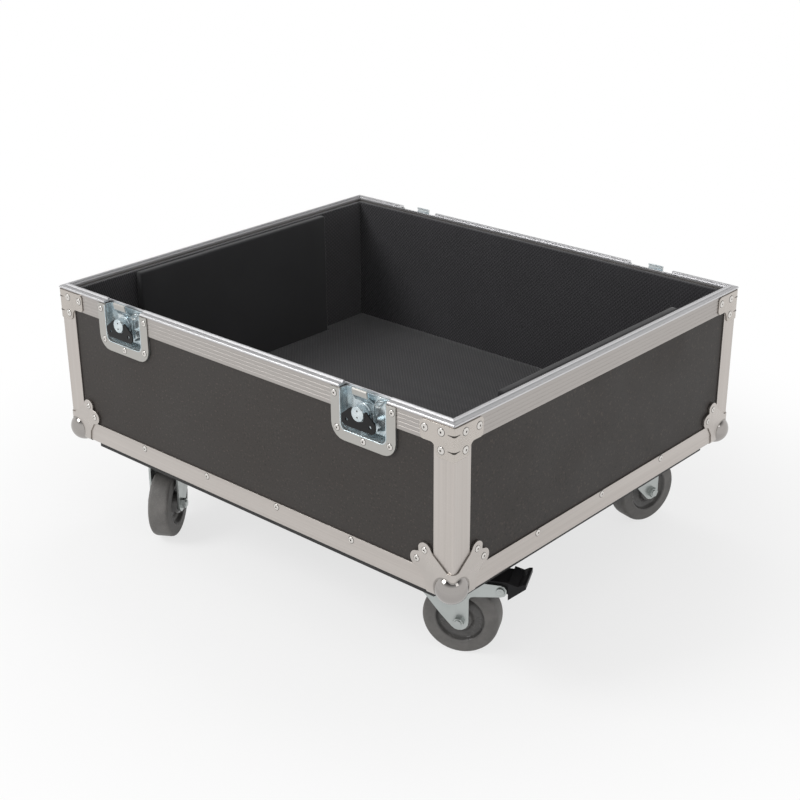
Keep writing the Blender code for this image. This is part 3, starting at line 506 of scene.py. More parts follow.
def foam(name, colour, pattern):
    """Foam sheet, ribbed, waffled or smooth, with fine open cells, a little dust and a painted
    highlight on the crests of its pattern.
    """
    finish = Finish(name, colour, 0.92)
    dust = finish.noise(11.0, 4.0, rough=0.6)
    dusty, light = (tuple(factor * c for c in colour) for factor in (1.25, 1.9))
    tone = finish.blend(finish.between(dust, 0.35, 0.7), colour, dusty)
    normal = None
    if pattern:
        height = pattern(finish)
        # Painted highlight and shade: the crests of the pattern are lighter than its hollows.
        tone = finish.blend(finish.maths("MULTIPLY", height, 0.5), tone, light)
        normal = finish.bump(height, 0.9 * MM, strength=0.8)
    finish.set("Base Color", tone)
    finish.set("Normal", finish.bump(finish.cells(900.0), 0.15 * MM, normal, 0.5))
    finish.set("Sheen Weight", 0.25)
    finish.set("Sheen Roughness", 0.5)
    return finish.material


def ridges(finish, along, pitch, turn=(0, 0, 0)):
    """Rounded ridges a pitch apart, counted along an axis after a turn."""
    place = finish.split(finish.stretched((1, 1, 1), turn))["xyz".index(along)]
    wave = finish.maths("SINE", finish.maths("MULTIPLY", place, math.tau / pitch))
    return finish.maths("MULTIPLY_ADD", wave, 0.5, 0.5)


def waffle(pitch, level=False):
    """Small diamonds on a sheet that lies in its own XZ plane, or level in XY."""
    turn = (0, 0, math.radians(45)) if level else (0, math.radians(45), 0)

    def pattern(finish):
        first = ridges(finish, "x", pitch, turn)
        second = ridges(finish, "y" if level else "z", pitch, turn)
        return finish.maths("POWER", finish.maths("MULTIPLY", first, second), 0.7)

    return pattern


def slanted_ribs(pitch):
    """Fine ribs at a slant, each broken into beads."""

    def pattern(finish):
        rib = ridges(finish, "x", pitch, (0, math.radians(32), 0))
        cross = ridges(finish, "z", 1.6 * pitch, (0, math.radians(-20), 0))
        return finish.maths("MULTIPLY", rib, finish.maths("MULTIPLY_ADD", cross, 0.35, 0.65))

    return pattern


def tyre_rubber():
    """Grey moulded wheel: a matte tread, and a darker, smoother hub inside its ring."""
    finish = Finish("grey_tyre", (0.16, 0.155, 0.148), 0.6)
    x, _, z = finish.split()
    radius = finish.reach(x, z)
    cloud = finish.noise(40.0, 5.0, rough=0.65)
    specks = finish.noise(900.0, 2.0)
    patches = finish.between(cloud, 0.35, 0.7)
    ring = (31 * MM, 33 * MM)
    tread = finish.blend(patches, (0.135, 0.13, 0.124), (0.19, 0.182, 0.174))
    hub = finish.blend(patches, (0.085, 0.082, 0.08), (0.13, 0.125, 0.12))
    colour = finish.blend(finish.between(radius, *ring), hub, tread)
    outside = finish.between(radius, 47 * MM, 49.5 * MM)
    dusty = finish.maths("MULTIPLY", finish.between(specks, 0.55, 0.7), outside)
    colour = finish.blend(finish.maths("MULTIPLY", dusty, 0.45), colour, (0.3, 0.285, 0.26))
    finish.set("Base Color", colour)
    smooth = finish.between(radius, *ring, 0.24, 0.56)
    uneven = finish.between(cloud, 0.3, 0.7, -0.05, 0.08)
    finish.set("Roughness", finish.maths("ADD", smooth, uneven))
    finish.set("Normal", finish.bump(specks, 0.05 * MM, strength=0.5))
    return finish.material


def moulded_black(name, colour, roughness, worn_and_lit_edge_colour):
    """Black paint or plastic, greyer on its edges from wear and a painted edge highlight."""
    finish = Finish(name, colour, roughness)
    finish.set("Specular IOR Level", 0.2)
    grain = finish.noise(1100.0, 2.0)
    cloud = finish.noise(30.0, 4.0)
    face = finish.add("ShaderNodeNewGeometry", {}, "Normal")
    edge = finish.soft_edge(0.9 * MM, samples=6)
    turn = finish.add("ShaderNodeVectorMath", {0: edge, 1: face}, "Value", operation="DOT_PRODUCT")
    # Greyer edges: wear, and a painted highlight where the edges catch the light.
    worn_and_lit_edges = finish.between(turn, 0.995, 0.93)
    worn_and_lit_edges = finish.maths("MULTIPLY", worn_and_lit_edges, finish.between(cloud, 0.35, 0.65, 0.25, 1.0))
    base = finish.blend(finish.between(cloud, 0.3, 0.7), colour, tuple(1.5 * c for c in colour))
    finish.set("Base Color", finish.blend(finish.maths("MULTIPLY", worn_and_lit_edges, 0.6), base, worn_and_lit_edge_colour))
    finish.set("Roughness", finish.between(cloud, 0.3, 0.7, roughness - 0.06, roughness + 0.08))
    finish.set("Normal", finish.bump(grain, 0.03 * MM, edge, 0.5))
    return finish.material


def painted_recess_shade():
    """Painted shade: dark, gritty metal colour for the foot of a dent, under the rim of a rivet and
    in a boss's dimples.
    """
    finish = Finish("painted_recess_shade", (0.05, 0.045, 0.04), 0.5, 0.6)
    painted_shade = finish.noise(180.0, 4.0, rough=0.65)
    grit = finish.noise(900.0, 2.0)
    patches = finish.between(painted_shade, 0.35, 0.65)
    finish.set("Base Color", finish.blend(patches, (0.036, 0.032, 0.028), (0.07, 0.062, 0.054)))
    finish.set("Roughness", finish.between(grit, 0.3, 0.7, 0.42, 0.62))
    finish.set("Normal", finish.bump(grit, 0.02 * MM, strength=0.5))
    return finish.material


def dish_inside(finish):
    """Mask of what lies behind the flange of a latch, on either long side."""
    y = finish.split()[1]
    face = CASE_WIDTH / 2
    return finish.between(finish.maths("ABSOLUTE", y), face + 0.5 * MM, face - 1.5 * MM)


def ball_masks(finish):
    """Masks of the polished ball and of the crease round it, in a corner piece's own frame."""
    inputs = {0: finish.place(), 1: (BALL_INSET,) * 3}
    offset = finish.add("ShaderNodeVectorMath", inputs, operation="SUBTRACT")
    reach = finish.add("ShaderNodeVectorMath", {0: offset}, "Value", operation="LENGTH")
    polished = finish.between(reach, BALL_RADIUS + 0.4 * MM, BALL_RADIUS + 0.1 * MM)
    near = finish.between(reach, BALL_RADIUS + 2.2 * MM, BALL_RADIUS + 0.4 * MM)
    return polished, finish.maths("SUBTRACT", near, polished)


def latch_zinc():
    """Plated steel, with a painted highlight that makes it brighter and bluer inside the dish than
    on its flange.
    """
    zinc = plated("latch_zinc", (0.465, 0.455, 0.43), 0.34, dirt=0.1)
    inside = dish_inside(zinc)
    bloom = zinc.between(zinc.noise(60.0, 4.0, rough=0.65), 0.35, 0.7)
    # Painted highlight: the inside of the dish is lighter and bluer than the flange.
    painted_dish_highlight = zinc.blend(bloom, (0.5, 0.575, 0.61), (0.7, 0.76, 0.775))
    zinc.set("Base Color", zinc.blend(inside, zinc.source("Base Color"), painted_dish_highlight))
    zinc.set("Metallic", zinc.maths("MULTIPLY_ADD", inside, -0.22, 1.0))
    zinc.set("Roughness", zinc.maths("MULTIPLY_ADD", inside, -0.12, 0.36))
    return zinc.material


def nickel_corner():
    """Satin sheet with a polished ball, painted shade in the crease where the two meet, and a
    painted dark reflection on the ball.
    """
    corner = plated("nickel_corner", (0.54, 0.505, 0.475), 0.3)
    polished, crease = ball_masks(corner)
    # Painted shade: the crease round the ball is darkened.
    painted_shade = corner.maths("MULTIPLY", crease, 0.6)
    tone = corner.blend(painted_shade, corner.source("Base Color"), (0.13, 0.12, 0.11))
    # Painted reflection: the ball's colour is darker than the sheet's, standing in for the dark
    # surroundings that it mirrors.
    corner.set("Base Color", corner.blend(polished, tone, (0.37, 0.35, 0.335)))
    smooth = corner.maths("MULTIPLY_ADD", polished, -0.8, 1.0)
    corner.set("Roughness", corner.maths("MULTIPLY", corner.source("Roughness"), smooth))
    return corner.material


def make_finishes():
    """Every finish, by the short name that the pieces ask for."""
    return {
        "laminate": panel_laminate(),
        "aluminium_x": brushed_aluminium("x"),
        "aluminium_y": brushed_aluminium("y"),
        "aluminium_z": brushed_aluminium("z"),
        "brace": plated("plated_brace", (0.53, 0.492, 0.455), 0.2).material,
        "zinc": latch_zinc(),
        "corner": nickel_corner(),
        "caster": plated("caster_zinc", (0.46, 0.485, 0.475), 0.34, dirt=0.3).material,
        "rivet": plated("rivet_nickel", (0.68, 0.655, 0.625), 0.2, scale=3.0).material,
        "board": painted_board(),
        "waffle": foam("foam_waffle", (0.0215, 0.0205, 0.0235), waffle(4.2 * MM)),
        # Painted shade: the floor sheet is darker than the wall sheets, to offset the light that
        # falls on it from above.
        "level": foam("foam_level", (0.0165, 0.0157, 0.0178), waffle(4.2 * MM, level=True)),
        "ribs": foam("foam_ribs", (0.021, 0.02, 0.0225), slanted_ribs(3.2 * MM)),
        "smooth": foam("foam_smooth", (0.015, 0.0148, 0.0165), None),
        "tyre": tyre_rubber(),
        "handle": moulded_black("latch_handle", (0.009, 0.009, 0.0095), 0.42, (0.09, 0.09, 0.09)),
        "pedal": moulded_black("brake_plastic", (0.01, 0.01, 0.011), 0.42, (0.05, 0.05, 0.05)),
        "recess_shade": painted_recess_shade(),
    }


def dress_nodes(finishes):
    """The CAD nodes' own finishes, each by the first start that its name has."""
    starts = (
        ("panel_", "laminate"),
        ("rim_front", "aluminium_x"), ("rim_back", "aluminium_x"),
        ("rim_", "aluminium_y"),
        ("bottom_angle_front", "aluminium_x"), ("bottom_angle_back", "aluminium_x"),
        ("bottom_angle_", "aluminium_y"),
        ("post_", "aluminium_z"),
        ("brace_", "brace"),
        ("ball_corner_", "corner"),
        ("wheel_board", "board"),
        ("lining_", "waffle"), ("foam_pad_", "smooth"),
        ("latch_handle_", "handle"),
        ("latch_", "zinc"),
        ("caster_plate_", "caster"), ("fork_", "caster"),
        ("wheel_", "tyre"),
        ("brake_pedal_", "pedal"),
    )
    for name, obj in NODES.items():
        chosen = next(key for start, key in starts if name.startswith(start))
        obj.data.materials.clear()
        obj.data.materials.append(finishes[chosen])


# Ball corners


def corner_wedge(depth):
    """All that lies outside the plane x + y + z = depth."""
    out = 8 * MM
    far = depth + 2 * out
    bm = bmesh.new()
    corners = [
        bm.verts.new(point)
        for point in ((-out, -out, -out), (far, -out, -out), (-out, far, -out), (-out, -out, far))
    ]
    for skipped in range(4):
        bm.faces.new(corners[:skipped] + corners[skipped + 1:])
    return finished(bm, "wedge")


def corner_block(low, radius, segments):
    """Large cube from a low corner, with that corner's three edges rounded."""
    size = 110 * MM
    bm = bmesh.new()
    bmesh.ops.create_cube(bm, size=size)
    bmesh.ops.translate(bm, vec=[low + size / 2] * 3, verts=bm.verts)
    near = min(bm.verts, key=lambda vertex: sum(vertex.co))
    bmesh.ops.bevel(
        bm, geom=list(near.link_edges), offset=radius,
        segments=segments, profile=0.5, affect="EDGES",
    )
    return finished(bm, "block")


def ball(radius):
    """The ball at a corner, or one a little smaller that clears its inside."""
    bm = bmesh.new()
    bmesh.ops.create_uvsphere(bm, u_segments=72, v_segments=36, radius=radius)
    bmesh.ops.translate(bm, vec=[BALL_INSET] * 3, verts=bm.verts)
    return finished(bm, "ball")


def ball_arm():
    """Outline of an arm on one face: past the corner, round both lobes and back."""
    out = -5 * MM
    return [
        (out, out),
        (out, NOTCH_HEIGHT),
        (NOTCH_WIDTH, NOTCH_HEIGHT),
        (ANGLE_LEG, UPPER_LOBE[1] - 1.5 * MM),
        *arc(UPPER_LOBE, LOBE_RADIUS, 150, 20, 14),
        VALLEY,
        *arc(LOWER_LOBE, LOBE_RADIUS, 70, -80, 14),
        (LOWER_LOBE[0] - 4 * MM, ANGLE_LEG - 2 * MM),
        (NOTCH_HEIGHT + 6 * MM, ANGLE_LEG / 2),
        (NOTCH_HEIGHT + 3 * MM, out),
    ]


def ball_foot():
    """Outline of the short foot under the case."""
    out = -5 * MM
    reach = BOARD_CLEARANCE - 7 * MM
    rim = arc((BALL_INSET, BALL_INSET), reach, -24, 114, 18)
    return [(out, out), (NOTCH_HEIGHT, out), *rim, (out, NOTCH_HEIGHT)]


def smooth_ball_corner():
    """The corner piece with a round ball and softly cut edges."""
    deep = BALL_EDGE_RADIUS + 1 * MM
    far = 200 * MM
    step = ANGLE_LEG + GAP
    pad = PANEL_OUT - GAP
    shape = combined(
        prism(ball_arm(), "Y", -deep, deep),
        ("UNION", prism(ball_arm(), "X", -1.1 * deep, 1.1 * deep)),
        ("UNION", prism(ball_foot(), "Z", -1.2 * deep, 1.2 * deep)),
    )
    tip = combined(
        box([-2 * deep] * 3, [BALL_INSET] * 3),
        ("DIFFERENCE", ball(BALL_RADIUS - 0.6 * MM)),
    )
    hollow = combined(
        corner_block(-GAP, ANGLE_RADIUS + GAP, 4),
        ("DIFFERENCE", corner_wedge(ANGLE_NIP - 1 * MM)),
        ("DIFFERENCE", box((step, -far, step), (far, pad, far))),
        ("DIFFERENCE", box((-far, step, step), (pad, far, far))),
    )
    return combined(
        corner_block(-GAP - BALL_SHEET, BALL_EDGE_RADIUS, 10),
        ("INTERSECT", shape),
        ("DIFFERENCE", tip),
        ("UNION", ball(BALL_RADIUS)),
        ("DIFFERENCE", hollow),
    )


def add_ball_corners(finishes):
    """A round stand-in for each ball corner of the CAD."""
    mesh = smooth_ball_corner()
    for name, (x, y), turn in CORNERS:
        obj = piece(
            f"round_ball_corner_{name}", mesh, finishes["corner"], "case",
            placement((x, y, CASE_BOTTOM), turn), bevel=0.3 * MM,
        )
        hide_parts(f"ball_corner_{name}")


# Rivets


def rivet_mesh(radius):
    """Domed blind rivet with the small crater that its mandrel leaves, along -Y."""
    profile = [
        (0, 0.35 * MM),
        (1.1 * MM, 0.3 * MM),
        (1.35 * MM, 1.15 * MM),
        (1.7 * MM, 1.35 * MM),
        (0.5 * radius, 1.3 * MM),
        (0.72 * radius, 1.02 * MM),
        (0.84 * radius, 0.8 * MM),
        (0.93 * radius, 0.62 * MM),
        (radius, 0.3 * MM),
        (radius, -0.1 * MM),
        (0, -0.1 * MM),
    ]
    mesh = turned(profile, RIVET_STEPS)
    mesh.transform(Matrix.Rotation(math.pi / 2, 4, "X"))
    return mesh


def rivets_on_face(points, face, radius):
    """Rivets at (x, z) on a face that looks towards -Y."""
    return [moved(rivet_mesh(radius), (x, face, z)) for x, z in points]


def seats_on_face(points, face, radius):
    """Painted shade round each rivet and at the foot of its crater, as thin dark discs."""
    discs = ((radius, -0.1 * MM, 0.12 * MM), (CRATER_RADIUS, 0.25 * MM, 0.45 * MM))
    seats = []
    for x, z in points:
        for reach, low, top in discs:
            seat = turned([(0, top), (reach, top), (reach, low), (0, low)], RIVET_STEPS)
            seat.transform(Matrix.Rotation(math.pi / 2, 4, "X"))
            seats.append(moved(seat, (x, face, z)))
    return seats


def mirrored_face(meshes):
    """The same rivets on a corner's other face, with X and Y exchanged."""
    swap = Matrix(((0, 1, 0, 0), (1, 0, 0, 0), (0, 0, 1, 0), (0, 0, 0, 1)))
    result = []
    for mesh in meshes:
        copy = mesh.copy()
        copy.transform(swap)
        copy.flip_normals()
        result.append(copy)
    return result


def add_rivets(finishes):
    """Rivets in the braces, ball corners, bottom angles and latch flanges, with painted shade round
    them and in their craters.
    """
    brace_set = rivets_on_face(BRACE_RIVETS, BRACE_FACE, 4.8 * MM)
    brace_set += mirrored_face(brace_set)
    lobes = (UPPER_LOBE, LOWER_LOBE)
    ball_face = -GAP - BALL_SHEET
    ball_set = rivets_on_face(lobes, ball_face, 4.1 * MM)
    ball_set += mirrored_face(ball_set)
    # Painted shade: thin dark discs round the rivets and at the foot of their craters.
    painted_shade = seats_on_face(BRACE_RIVETS, BRACE_FACE, 5.3 * MM)
    painted_shade += seats_on_face(lobes, ball_face, 4.5 * MM)
    painted_shade += mirrored_face(painted_shade)
    painted_shade_mesh = joined(painted_shade, "rivet_seats")
    brace_mesh = joined(brace_set, "brace_rivets")
    ball_mesh = joined(ball_set, "ball_rivets")
    for name, (x, y), turn in CORNERS:
        matrix = placement((x, y, CASE_BOTTOM), turn)
        piece(f"brace_rivets_{name}", brace_mesh, finishes["rivet"], "case", matrix)
        piece(f"ball_rivets_{name}", ball_mesh, finishes["rivet"], "case", matrix)
        piece(f"rivet_seats_{name}", painted_shade_mesh, finishes["recess_shade"], "case", matrix)
    for name, (x, y), turn, _ in SIDES:
        row = LONG_ROW if name in ("front", "back") else SHORT_ROW
        mesh = joined(rivets_on_face(row, 0, 4.3 * MM), "angle_rivets")
        seats = joined(seats_on_face(row, 0, 4.8 * MM), "angle_seats")
        matrix = placement((x, y, CASE_BOTTOM), turn)
        piece(f"angle_rivets_{name}", mesh, finishes["rivet"], "case", matrix)
        piece(f"angle_seats_{name}", seats, finishes["recess_shade"], "case", matrix)
    flange_mesh = joined(rivets_on_face(FLANGE_RIVETS, FLANGE_FACE, 4.2 * MM), "latch_rivets")
    seat_mesh = joined(seats_on_face(FLANGE_RIVETS, FLANGE_FACE, 4.6 * MM), "latch_seats")
    for name, x, y, turn in LATCHES:
        matrix = placement((x, y, CASE_BOTTOM), turn)
        piece(f"latch_rivets_{name}", flange_mesh, finishes["rivet"], "case", matrix)
        piece(f"latch_seats_{name}", seat_mesh, finishes["recess_shade"], "case", matrix)


def add_brace_dent_shade(finishes):
    """Painted shade of two short stamped grooves across the ridge of each brace, as thin dark
    strips.
    """
    outer = BRACE_FACE - 0.15 * MM
    bend_radius = 4 * MM
    bend = arc((outer + bend_radius, outer + bend_radius), bend_radius, 270, 180, 8)
    path = [(DENT_REACH, outer), *bend, (outer, DENT_REACH)]
    meshes = []
    for height in DENT_HEIGHTS:
        bm = bmesh.new()
        rings = []
        for index, (px, py) in enumerate(path):
            along = index / (len(path) - 1)
            share = 1 - abs(2 * along - 1)
            half = (0.25 + 0.8 * math.sin(math.pi / 2 * min(1, 2.2 * share))) * MM
            drop = -0.4 * MM * math.cos(math.pi * (along - 0.5))
            rings.append([bm.verts.new((px, py, height + drop + side * half)) for side in (1, -1)])
        for first, second in zip(rings, rings[1:]):
            bm.faces.new((first[0], first[1], second[1], second[0]))
        meshes.append(finished(bm, "recess_shade"))
    mesh = joined(meshes, "dents")
    for name, (x, y), turn in CORNERS:
        matrix = placement((x, y, CASE_BOTTOM), turn)
        obj = piece(f"brace_dent_shade_{name}", mesh, finishes["recess_shade"], "case", matrix)
        thicken = obj.modifiers.new("thickness", "SOLIDIFY")
        thicken.thickness = 0.2 * MM


# Latches


def round_boss():
    """Turned boss and its pin, with the cross hole that the handle's stubs turn in."""
    profile = [
        (0, 9 * MM), (4 * MM, 9 * MM), (4 * MM, 7.1 * MM),
        (10.6 * MM, 7.1 * MM), (11 * MM, 6.7 * MM), (11 * MM, 5.9 * MM), (10.6 * MM, 5.5 * MM),
        (8.4 * MM, 5.1 * MM), (8.4 * MM, 3.7 * MM),
        (9.2 * MM, 3.3 * MM), (BOSS_RADIUS, 2.9 * MM),
        (BOSS_RADIUS, -4.7 * MM), (9.4 * MM, -5.15 * MM), (8.9 * MM, BOSS_FACE),
        (0, BOSS_FACE),
    ]
    hole = prism(arc((HANDLE_AXIS, 0), STUB_HOLE, 0, 345, 23), "X", -12 * MM, 12 * MM)
    return combined(turned(profile, 48, "Y"), ("DIFFERENCE", hole))


def boss_marks():
    """Painted shade of two dimples on the face of a boss, as dark discs a little proud of it."""
    low, top, radius = BOSS_FACE + 0.2 * MM, BOSS_FACE - 0.15 * MM, 1.15 * MM
    dot = turned([(0, top), (radius, top), (radius, low), (0, low)], 16, "Y")
    return joined([moved(dot.copy(), (0, 0, height)) for height in (4 * MM, -4.2 * MM)], "marks")


def add_latch_details(finishes):
    """Round bosses with their marks, the beads of the dishes and the padlock eyes."""
    zinc = finishes["zinc"]
    boss_mesh = round_boss()
    marks = boss_marks()
    for name, x, y, turn in LATCHES:
        matrix = placement((x, y, CASE_BOTTOM), turn)
        boss_place = matrix @ Matrix.Translation((-BOSS_SHIFT, 0, BOSS_HEIGHT))
        body = f"latch_turn_{name}"
        boss = piece(f"round_boss_{name}", boss_mesh, zinc, body, boss_place)
        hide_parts(f"latch_spindle_{name}")
        piece(f"boss_marks_{name}", marks, finishes["recess_shade"], body, boss_place)
        piece(f"dish_lip_{name}", dish_lip(), zinc, "case", matrix)
        piece(f"eye_ring_{name}", eye_ring(), zinc, "case", matrix)


def tube_along(path, radius):
    """Round wire along an open path, with capped ends."""
    sides = 10
    bm = bmesh.new()
    rings = []
    for index, point in enumerate(path):
        before = Vector(path[max(0, index - 1)])
        after = Vector(path[min(len(path) - 1, index + 1)])
        along = (after - before).normalized()
        side = along.cross(Vector((0, 1, 0)))
        if side.length < 1e-3:
            side = along.cross(Vector((1, 0, 0)))
        side.normalize()
        up = side.cross(along)
        ring = []
        for step in range(sides):
            angle = math.tau * step / sides
            offset = side * math.cos(angle) + up * math.sin(angle)
            ring.append(bm.verts.new(Vector(point) + offset * radius))
        rings.append(ring)
    for first, second in zip(rings, rings[1:]):
        for step in range(sides):
            after = (step + 1) % sides
            bm.faces.new((first[step], first[after], second[after], second[step]))
    bm.faces.new(list(reversed(rings[0])))
    bm.faces.new(rings[-1])
    return finished(bm, "tube")


def dish_lip():
    """Rolled bead round the mouth of a dish."""
    half, foot, top = 36.8 * MM, 171 * MM, 222 * MM
    radius = 9 * MM
    face = FLANGE_FACE + 0.35 * MM
    line = [
        (-half, top),
        *arc((-half + radius, foot + radius), radius, 180, 270, 8),
        *arc((half - radius, foot + radius), radius, 270, 360, 8),
        (half, top),
    ]
    return tube_along([(x, face, z) for x, z in line], 0.85 * MM)


def eye_ring():
    """Welded wire eye that a padlock goes through, tilted out of the dish."""
    ring_radius, wire_radius = 4.5 * MM, 1.15 * MM
    mesh = turned(arc((ring_radius, 0), wire_radius, 0, 324, 9), 28, closed=True)
    mesh.transform(Matrix.Rotation(math.radians(EYE_TILT), 4, "X"))
    return moved(mesh, EYE_PLACE)


# Wheels


def smooth_wheel():
    """Moulded wheel: crowned tread, a raised ring, a dished web and a stepped hub."""
    face = [
        (5.5 * MM, HUB_HALF),
        (14.4 * MM, HUB_HALF),
        (15.3 * MM, 17.5 * MM),
        (16 * MM, 13.4 * MM),
        (17.2 * MM, 11 * MM),
        (19.5 * MM, 9.4 * MM),
        (23.5 * MM, 8.4 * MM),
        (27.6 * MM, 9 * MM),
        (29.8 * MM, 11 * MM),
        (31.2 * MM, 14.2 * MM),
        (32.2 * MM, 15.5 * MM),
        (33.6 * MM, 15.8 * MM),
        (34.8 * MM, 15.3 * MM),
        (36.4 * MM, 15 * MM),
        (45.2 * MM, 15 * MM),
        (47.4 * MM, 14.6 * MM),
        (48.9 * MM, 13.4 * MM),
        (49.7 * MM, 11.7 * MM),
        (WHEEL_RADIUS, 9.4 * MM),
    ]
    profile = face + [(radius, -along) for radius, along in reversed(face)]
    return turned(profile, 96, "Y", closed=True)


def hex_bolt():
    """Flanged hexagon head that looks down from a caster's top plate."""
    washer = [(0, 0), (6.6 * MM, 0), (6.6 * MM, -0.9 * MM), (6.2 * MM, -1.2 * MM), (0, -1.2 * MM)]
    head = prism(arc((0, 0), 5.2 * MM, 0, 300, 5), "Z", -1.1 * MM, -5.4 * MM)
    top, foot = -1 * MM, -7.7 * MM
    stem = [(0, top), (2.9 * MM, top), (2.9 * MM, foot + 0.5 * MM), (2.4 * MM, foot), (0, foot)]
    return joined([turned(washer, 24), head, turned(stem, 16)], "bolt")


def add_plate_bolts(finishes):
    """Four bolts through each caster's top plate."""
    bolts = [moved(hex_bolt(), (x, y, 0)) for x, y in PLATE_BOLTS]
    mesh = joined(bolts, "plate_bolts")
    for name, x, y, _ in CASTERS:
        piece(
            f"plate_bolts_{name}", mesh, finishes["caster"], "case",
            Matrix.Translation((x, y, PLATE_UNDERSIDE)), bevel=0.25 * MM,
        )


def add_pin_caps(finishes):
    """Rolled ends of the pin that a brake pedal turns on, over the leg of its fork."""
    profile = [
        (0, 2.62 * MM), (2 * MM, 2.66 * MM), (2.6 * MM, 3.05 * MM), (4.2 * MM, 3.05 * MM),
        (5.15 * MM, 2.75 * MM), (5.5 * MM, 2.2 * MM), (5.7 * MM, 1.2 * MM), (5.7 * MM, -0.2 * MM),
        (0, -0.2 * MM),
    ]
    far = moved(turned(profile, 32, "Y"), (0, LEG_OUTER, 0))
    near = far.copy()
    near.transform(Matrix.Rotation(math.pi, 4, "Z"))
    mesh = joined([far, near], "pin_caps")
    pin = Matrix.Translation((PEDAL_PIN[0], 0, PEDAL_PIN[1]))
    for name, x, y, heading in CASTERS:
        if name in BRAKED:
            piece(
                f"pin_caps_{name}", mesh, finishes["caster"], f"swivel_{name}",
                placement((x, y, 0), heading) @ pin,
            )


def add_wheels(finishes):
    """A round stand-in for each wheel of the CAD."""
    mesh = smooth_wheel()
    axle = Matrix.Translation((TRAIL, 0, WHEEL_RADIUS))
    for name, x, y, heading in CASTERS:
        obj = piece(
            f"moulded_wheel_{name}", mesh, finishes["tyre"], f"wheel_{name}",
            placement((x, y, 0), heading) @ axle, angle=50,
        )
        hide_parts(f"wheel_{name}")


# Foam


def foam_block(outline, low, high, radius, cuts=3):
    """Block of foam over an outline in XY, every edge rounded and every face a little uneven."""
    bm = bmesh.new()
    bm.from_mesh(prism(outline, "Z", low, high))
    bmesh.ops.bevel(
        bm, geom=list(bm.edges), offset=radius, segments=cuts, profile=0.5, affect="EDGES",
    )
    spans = [edge for edge in bm.edges if edge.calc_length() > 60 * MM]
    bmesh.ops.subdivide_edges(bm, edges=spans, cuts=11, use_grid_fill=True)
    for vertex in bm.verts:
        swell = noise.noise_vector(vertex.co * 26) * 0.22 * MM
        vertex.co += Vector((swell.x, swell.y, 1.6 * swell.z))
    return finished(bm, "foam")


def rectangle(x0, y0, x1, y1):
    """Corners of an upright rectangle, in order."""
    return [(x0, y0), (x1, y0), (x1, y1), (x0, y1)]


def add_foam(finishes):
    """Wall sheets, floor sheet and end pads, each its own piece in its own frame."""
    noise.seed_set(FOAM_SEED)
    inset = PADDING_INSET
    for name, (x, y), turn, length in SIDES:
        long_side = name in ("front", "back")
        half = length / 2 - inset - (0 if long_side else WALL_FOAM + 0.1 * MM)
        outline = rectangle(-half, inset, half, inset + WALL_FOAM)
        mesh = foam_block(outline, FOAM_FOOT, FOAM_TOP, 1.6 * MM)
        matrix = placement((x, y, CASE_BOTTOM), turn)
        finish = "waffle" if long_side else "ribs"
        obj = piece(f"wall_foam_{name}", mesh, finishes[finish], "case", matrix)
        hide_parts("lining_walls")
    low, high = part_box("lining_floor")
    pad_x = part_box("foam_pad_right")[0].x - GAP
    pad_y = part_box("foam_pad_right")[1].y + GAP
    end = [
        (high.x, low.y), (high.x, -pad_y), (pad_x, -pad_y),
        (pad_x, pad_y), (high.x, pad_y), (high.x, high.y),
    ]
    outline = end + [(-px, -py) for px, py in end]
    mesh = foam_block(outline, low.z, high.z, 1.5 * MM)
    obj = piece("floor_foam", mesh, finishes["level"], "case")
    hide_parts("lining_floor")
    for name in ("left", "right"):
        low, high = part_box(f"foam_pad_{name}")
        outline = rectangle(low.x, low.y, high.x, high.y)
        mesh = foam_block(outline, low.z, high.z, 3.2 * MM, 4)
        obj = piece(f"end_pad_{name}", mesh, finishes["smooth"], "case")
        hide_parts(f"foam_pad_{name}")


# Studio


def seen_rays(nodes):
    """Share of the rays that see the background: the camera's, and those in metal and glass."""
    path = nodes.tree.nodes.new("ShaderNodeLightPath").outputs
    seen = nodes.maths("MAXIMUM", path["Is Camera Ray"], path["Is Glossy Ray"])
    return nodes.maths("MAXIMUM", seen, path["Is Transmission Ray"])


def studio_floor():
    """White floor that keeps the shadow near the object."""
    bm = bmesh.new()
    outline = rectangle(-FLOOR_REACH, -FLOOR_REACH, FLOOR_REACH, FLOOR_REACH)
    bm.faces.new([bm.verts.new((x, y, 0)) for x, y in outline])
    mesh = finished(bm, "floor")
    finish = Finish("studio_floor", (0.86, 0.86, 0.86), 0.9)
    finish.set("Specular IOR Level", 0.0)
    x, y, _ = finish.split()
    shown = finish.between(finish.reach(x, y), FLOOR_SHADED, FLOOR_WHITE, FLOOR_PART, 1.0)
    share = finish.maths("MULTIPLY", shown, seen_rays(finish))
    white = finish.add("ShaderNodeEmission", {"Color": (1, 1, 1, 1), "Strength": 1.0})
    mixed = finish.add("ShaderNodeMixShader", {0: share, 1: finish.shader.outputs[0], 2: white})
    finish.feed(finish.tree.nodes["Material Output"].inputs[0], mixed)
    mesh.materials.append(finish.material)
    floor = bpy.data.objects.new("floor", mesh)
    bpy.context.scene.collection.objects.link(floor)


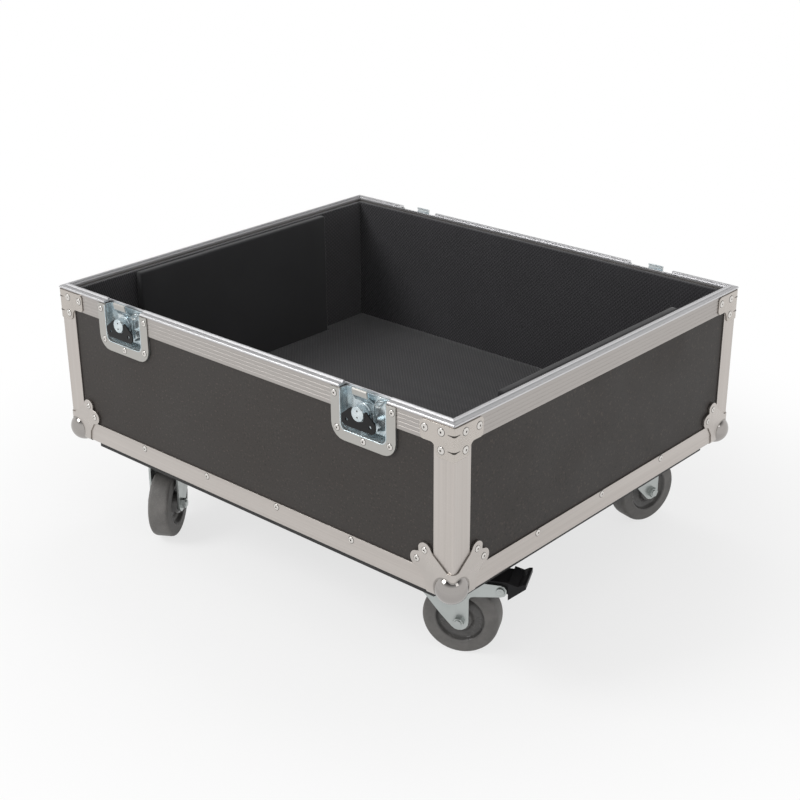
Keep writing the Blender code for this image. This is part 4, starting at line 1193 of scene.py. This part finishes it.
def studio_world():
    """Even light for surfaces, and a backdrop that is white all round under a dim ceiling."""
    world = bpy.data.worlds.new("studio")
    bpy.context.scene.world = world
    world.use_nodes = True
    nodes = Nodes(world.node_tree)
    nodes.tree.nodes.clear()
    direction = nodes.add("ShaderNodeTexCoord", {}, "Generated")
    height = nodes.add("ShaderNodeSeparateXYZ", {"Vector": direction}, "Z")
    low, high = (math.sin(math.radians(angle)) for angle in (BACKDROP_TOP, CEILING_FOOT))
    backdrop = nodes.between(height, low, high, 1.0, CEILING)
    inputs = {0: seen_rays(nodes), 2: AMBIENT, 3: backdrop}
    level = nodes.add("ShaderNodeMix", inputs, data_type="FLOAT")
    background = nodes.add("ShaderNodeBackground", {"Color": (1, 1, 1, 1), "Strength": level})
    output = nodes.tree.nodes.new("ShaderNodeOutputWorld")
    nodes.feed(output.inputs[0], background)


def add_lamps():
    """Soft rectangular lamps."""
    for name, place, width, height, watts in LAMPS:
        data = bpy.data.lights.new(name, "AREA")
        data.shape = "RECTANGLE"
        data.size = width
        data.size_y = height
        data.energy = watts
        lamp = bpy.data.objects.new(name, data)
        bpy.context.scene.collection.objects.link(lamp)
        lamp.location = place
        lamp.rotation_mode = "QUATERNION"
        lamp.rotation_quaternion = (Vector(LAMP_AIM) - Vector(place)).to_track_quat("-Z", "Y")


def add_camera():
    """The photograph's viewpoint, from the solved camera."""
    azimuth, elevation, roll = (math.radians(angle) for angle in (AZIMUTH, ELEVATION, ROLL))
    back = Vector((
        math.sin(azimuth) * math.cos(elevation),
        -math.cos(azimuth) * math.cos(elevation),
        math.sin(elevation),
    ))
    level = Vector((math.cos(azimuth), math.sin(azimuth), 0))
    upright = back.cross(level)
    right = math.cos(roll) * level + math.sin(roll) * upright
    up = -math.sin(roll) * level + math.cos(roll) * upright
    data = bpy.data.cameras.new("camera")
    data.sensor_width = SENSOR_WIDTH
    data.lens = SENSOR_WIDTH * FOCAL_PIXELS / PICTURE_PIXELS
    data.clip_start = 0.05
    data.clip_end = 60
    camera = bpy.data.objects.new("camera", data)
    bpy.context.scene.collection.objects.link(camera)
    offset = back * CAMERA_BACK + level * CAMERA_ACROSS + upright * CAMERA_UP
    centre = Vector(CAMERA_AIM) + offset
    turn = Matrix((right, up, back)).transposed().to_4x4()
    camera.matrix_world = Matrix.Translation(centre) @ turn
    bpy.context.scene.camera = camera


def main():
    """Dress the CAD, add what it leaves to the looks, and set the studio round it."""
    finishes = make_finishes()
    dress_nodes(finishes)
    add_ball_corners(finishes)
    add_rivets(finishes)
    add_brace_dent_shade(finishes)
    add_latch_details(finishes)
    add_wheels(finishes)
    add_plate_bolts(finishes)
    add_pin_caps(finishes)
    add_foam(finishes)
    studio_floor()
    studio_world()
    add_lamps()
    add_camera()
    bpy.context.scene.view_settings.view_transform = "Standard"


main()
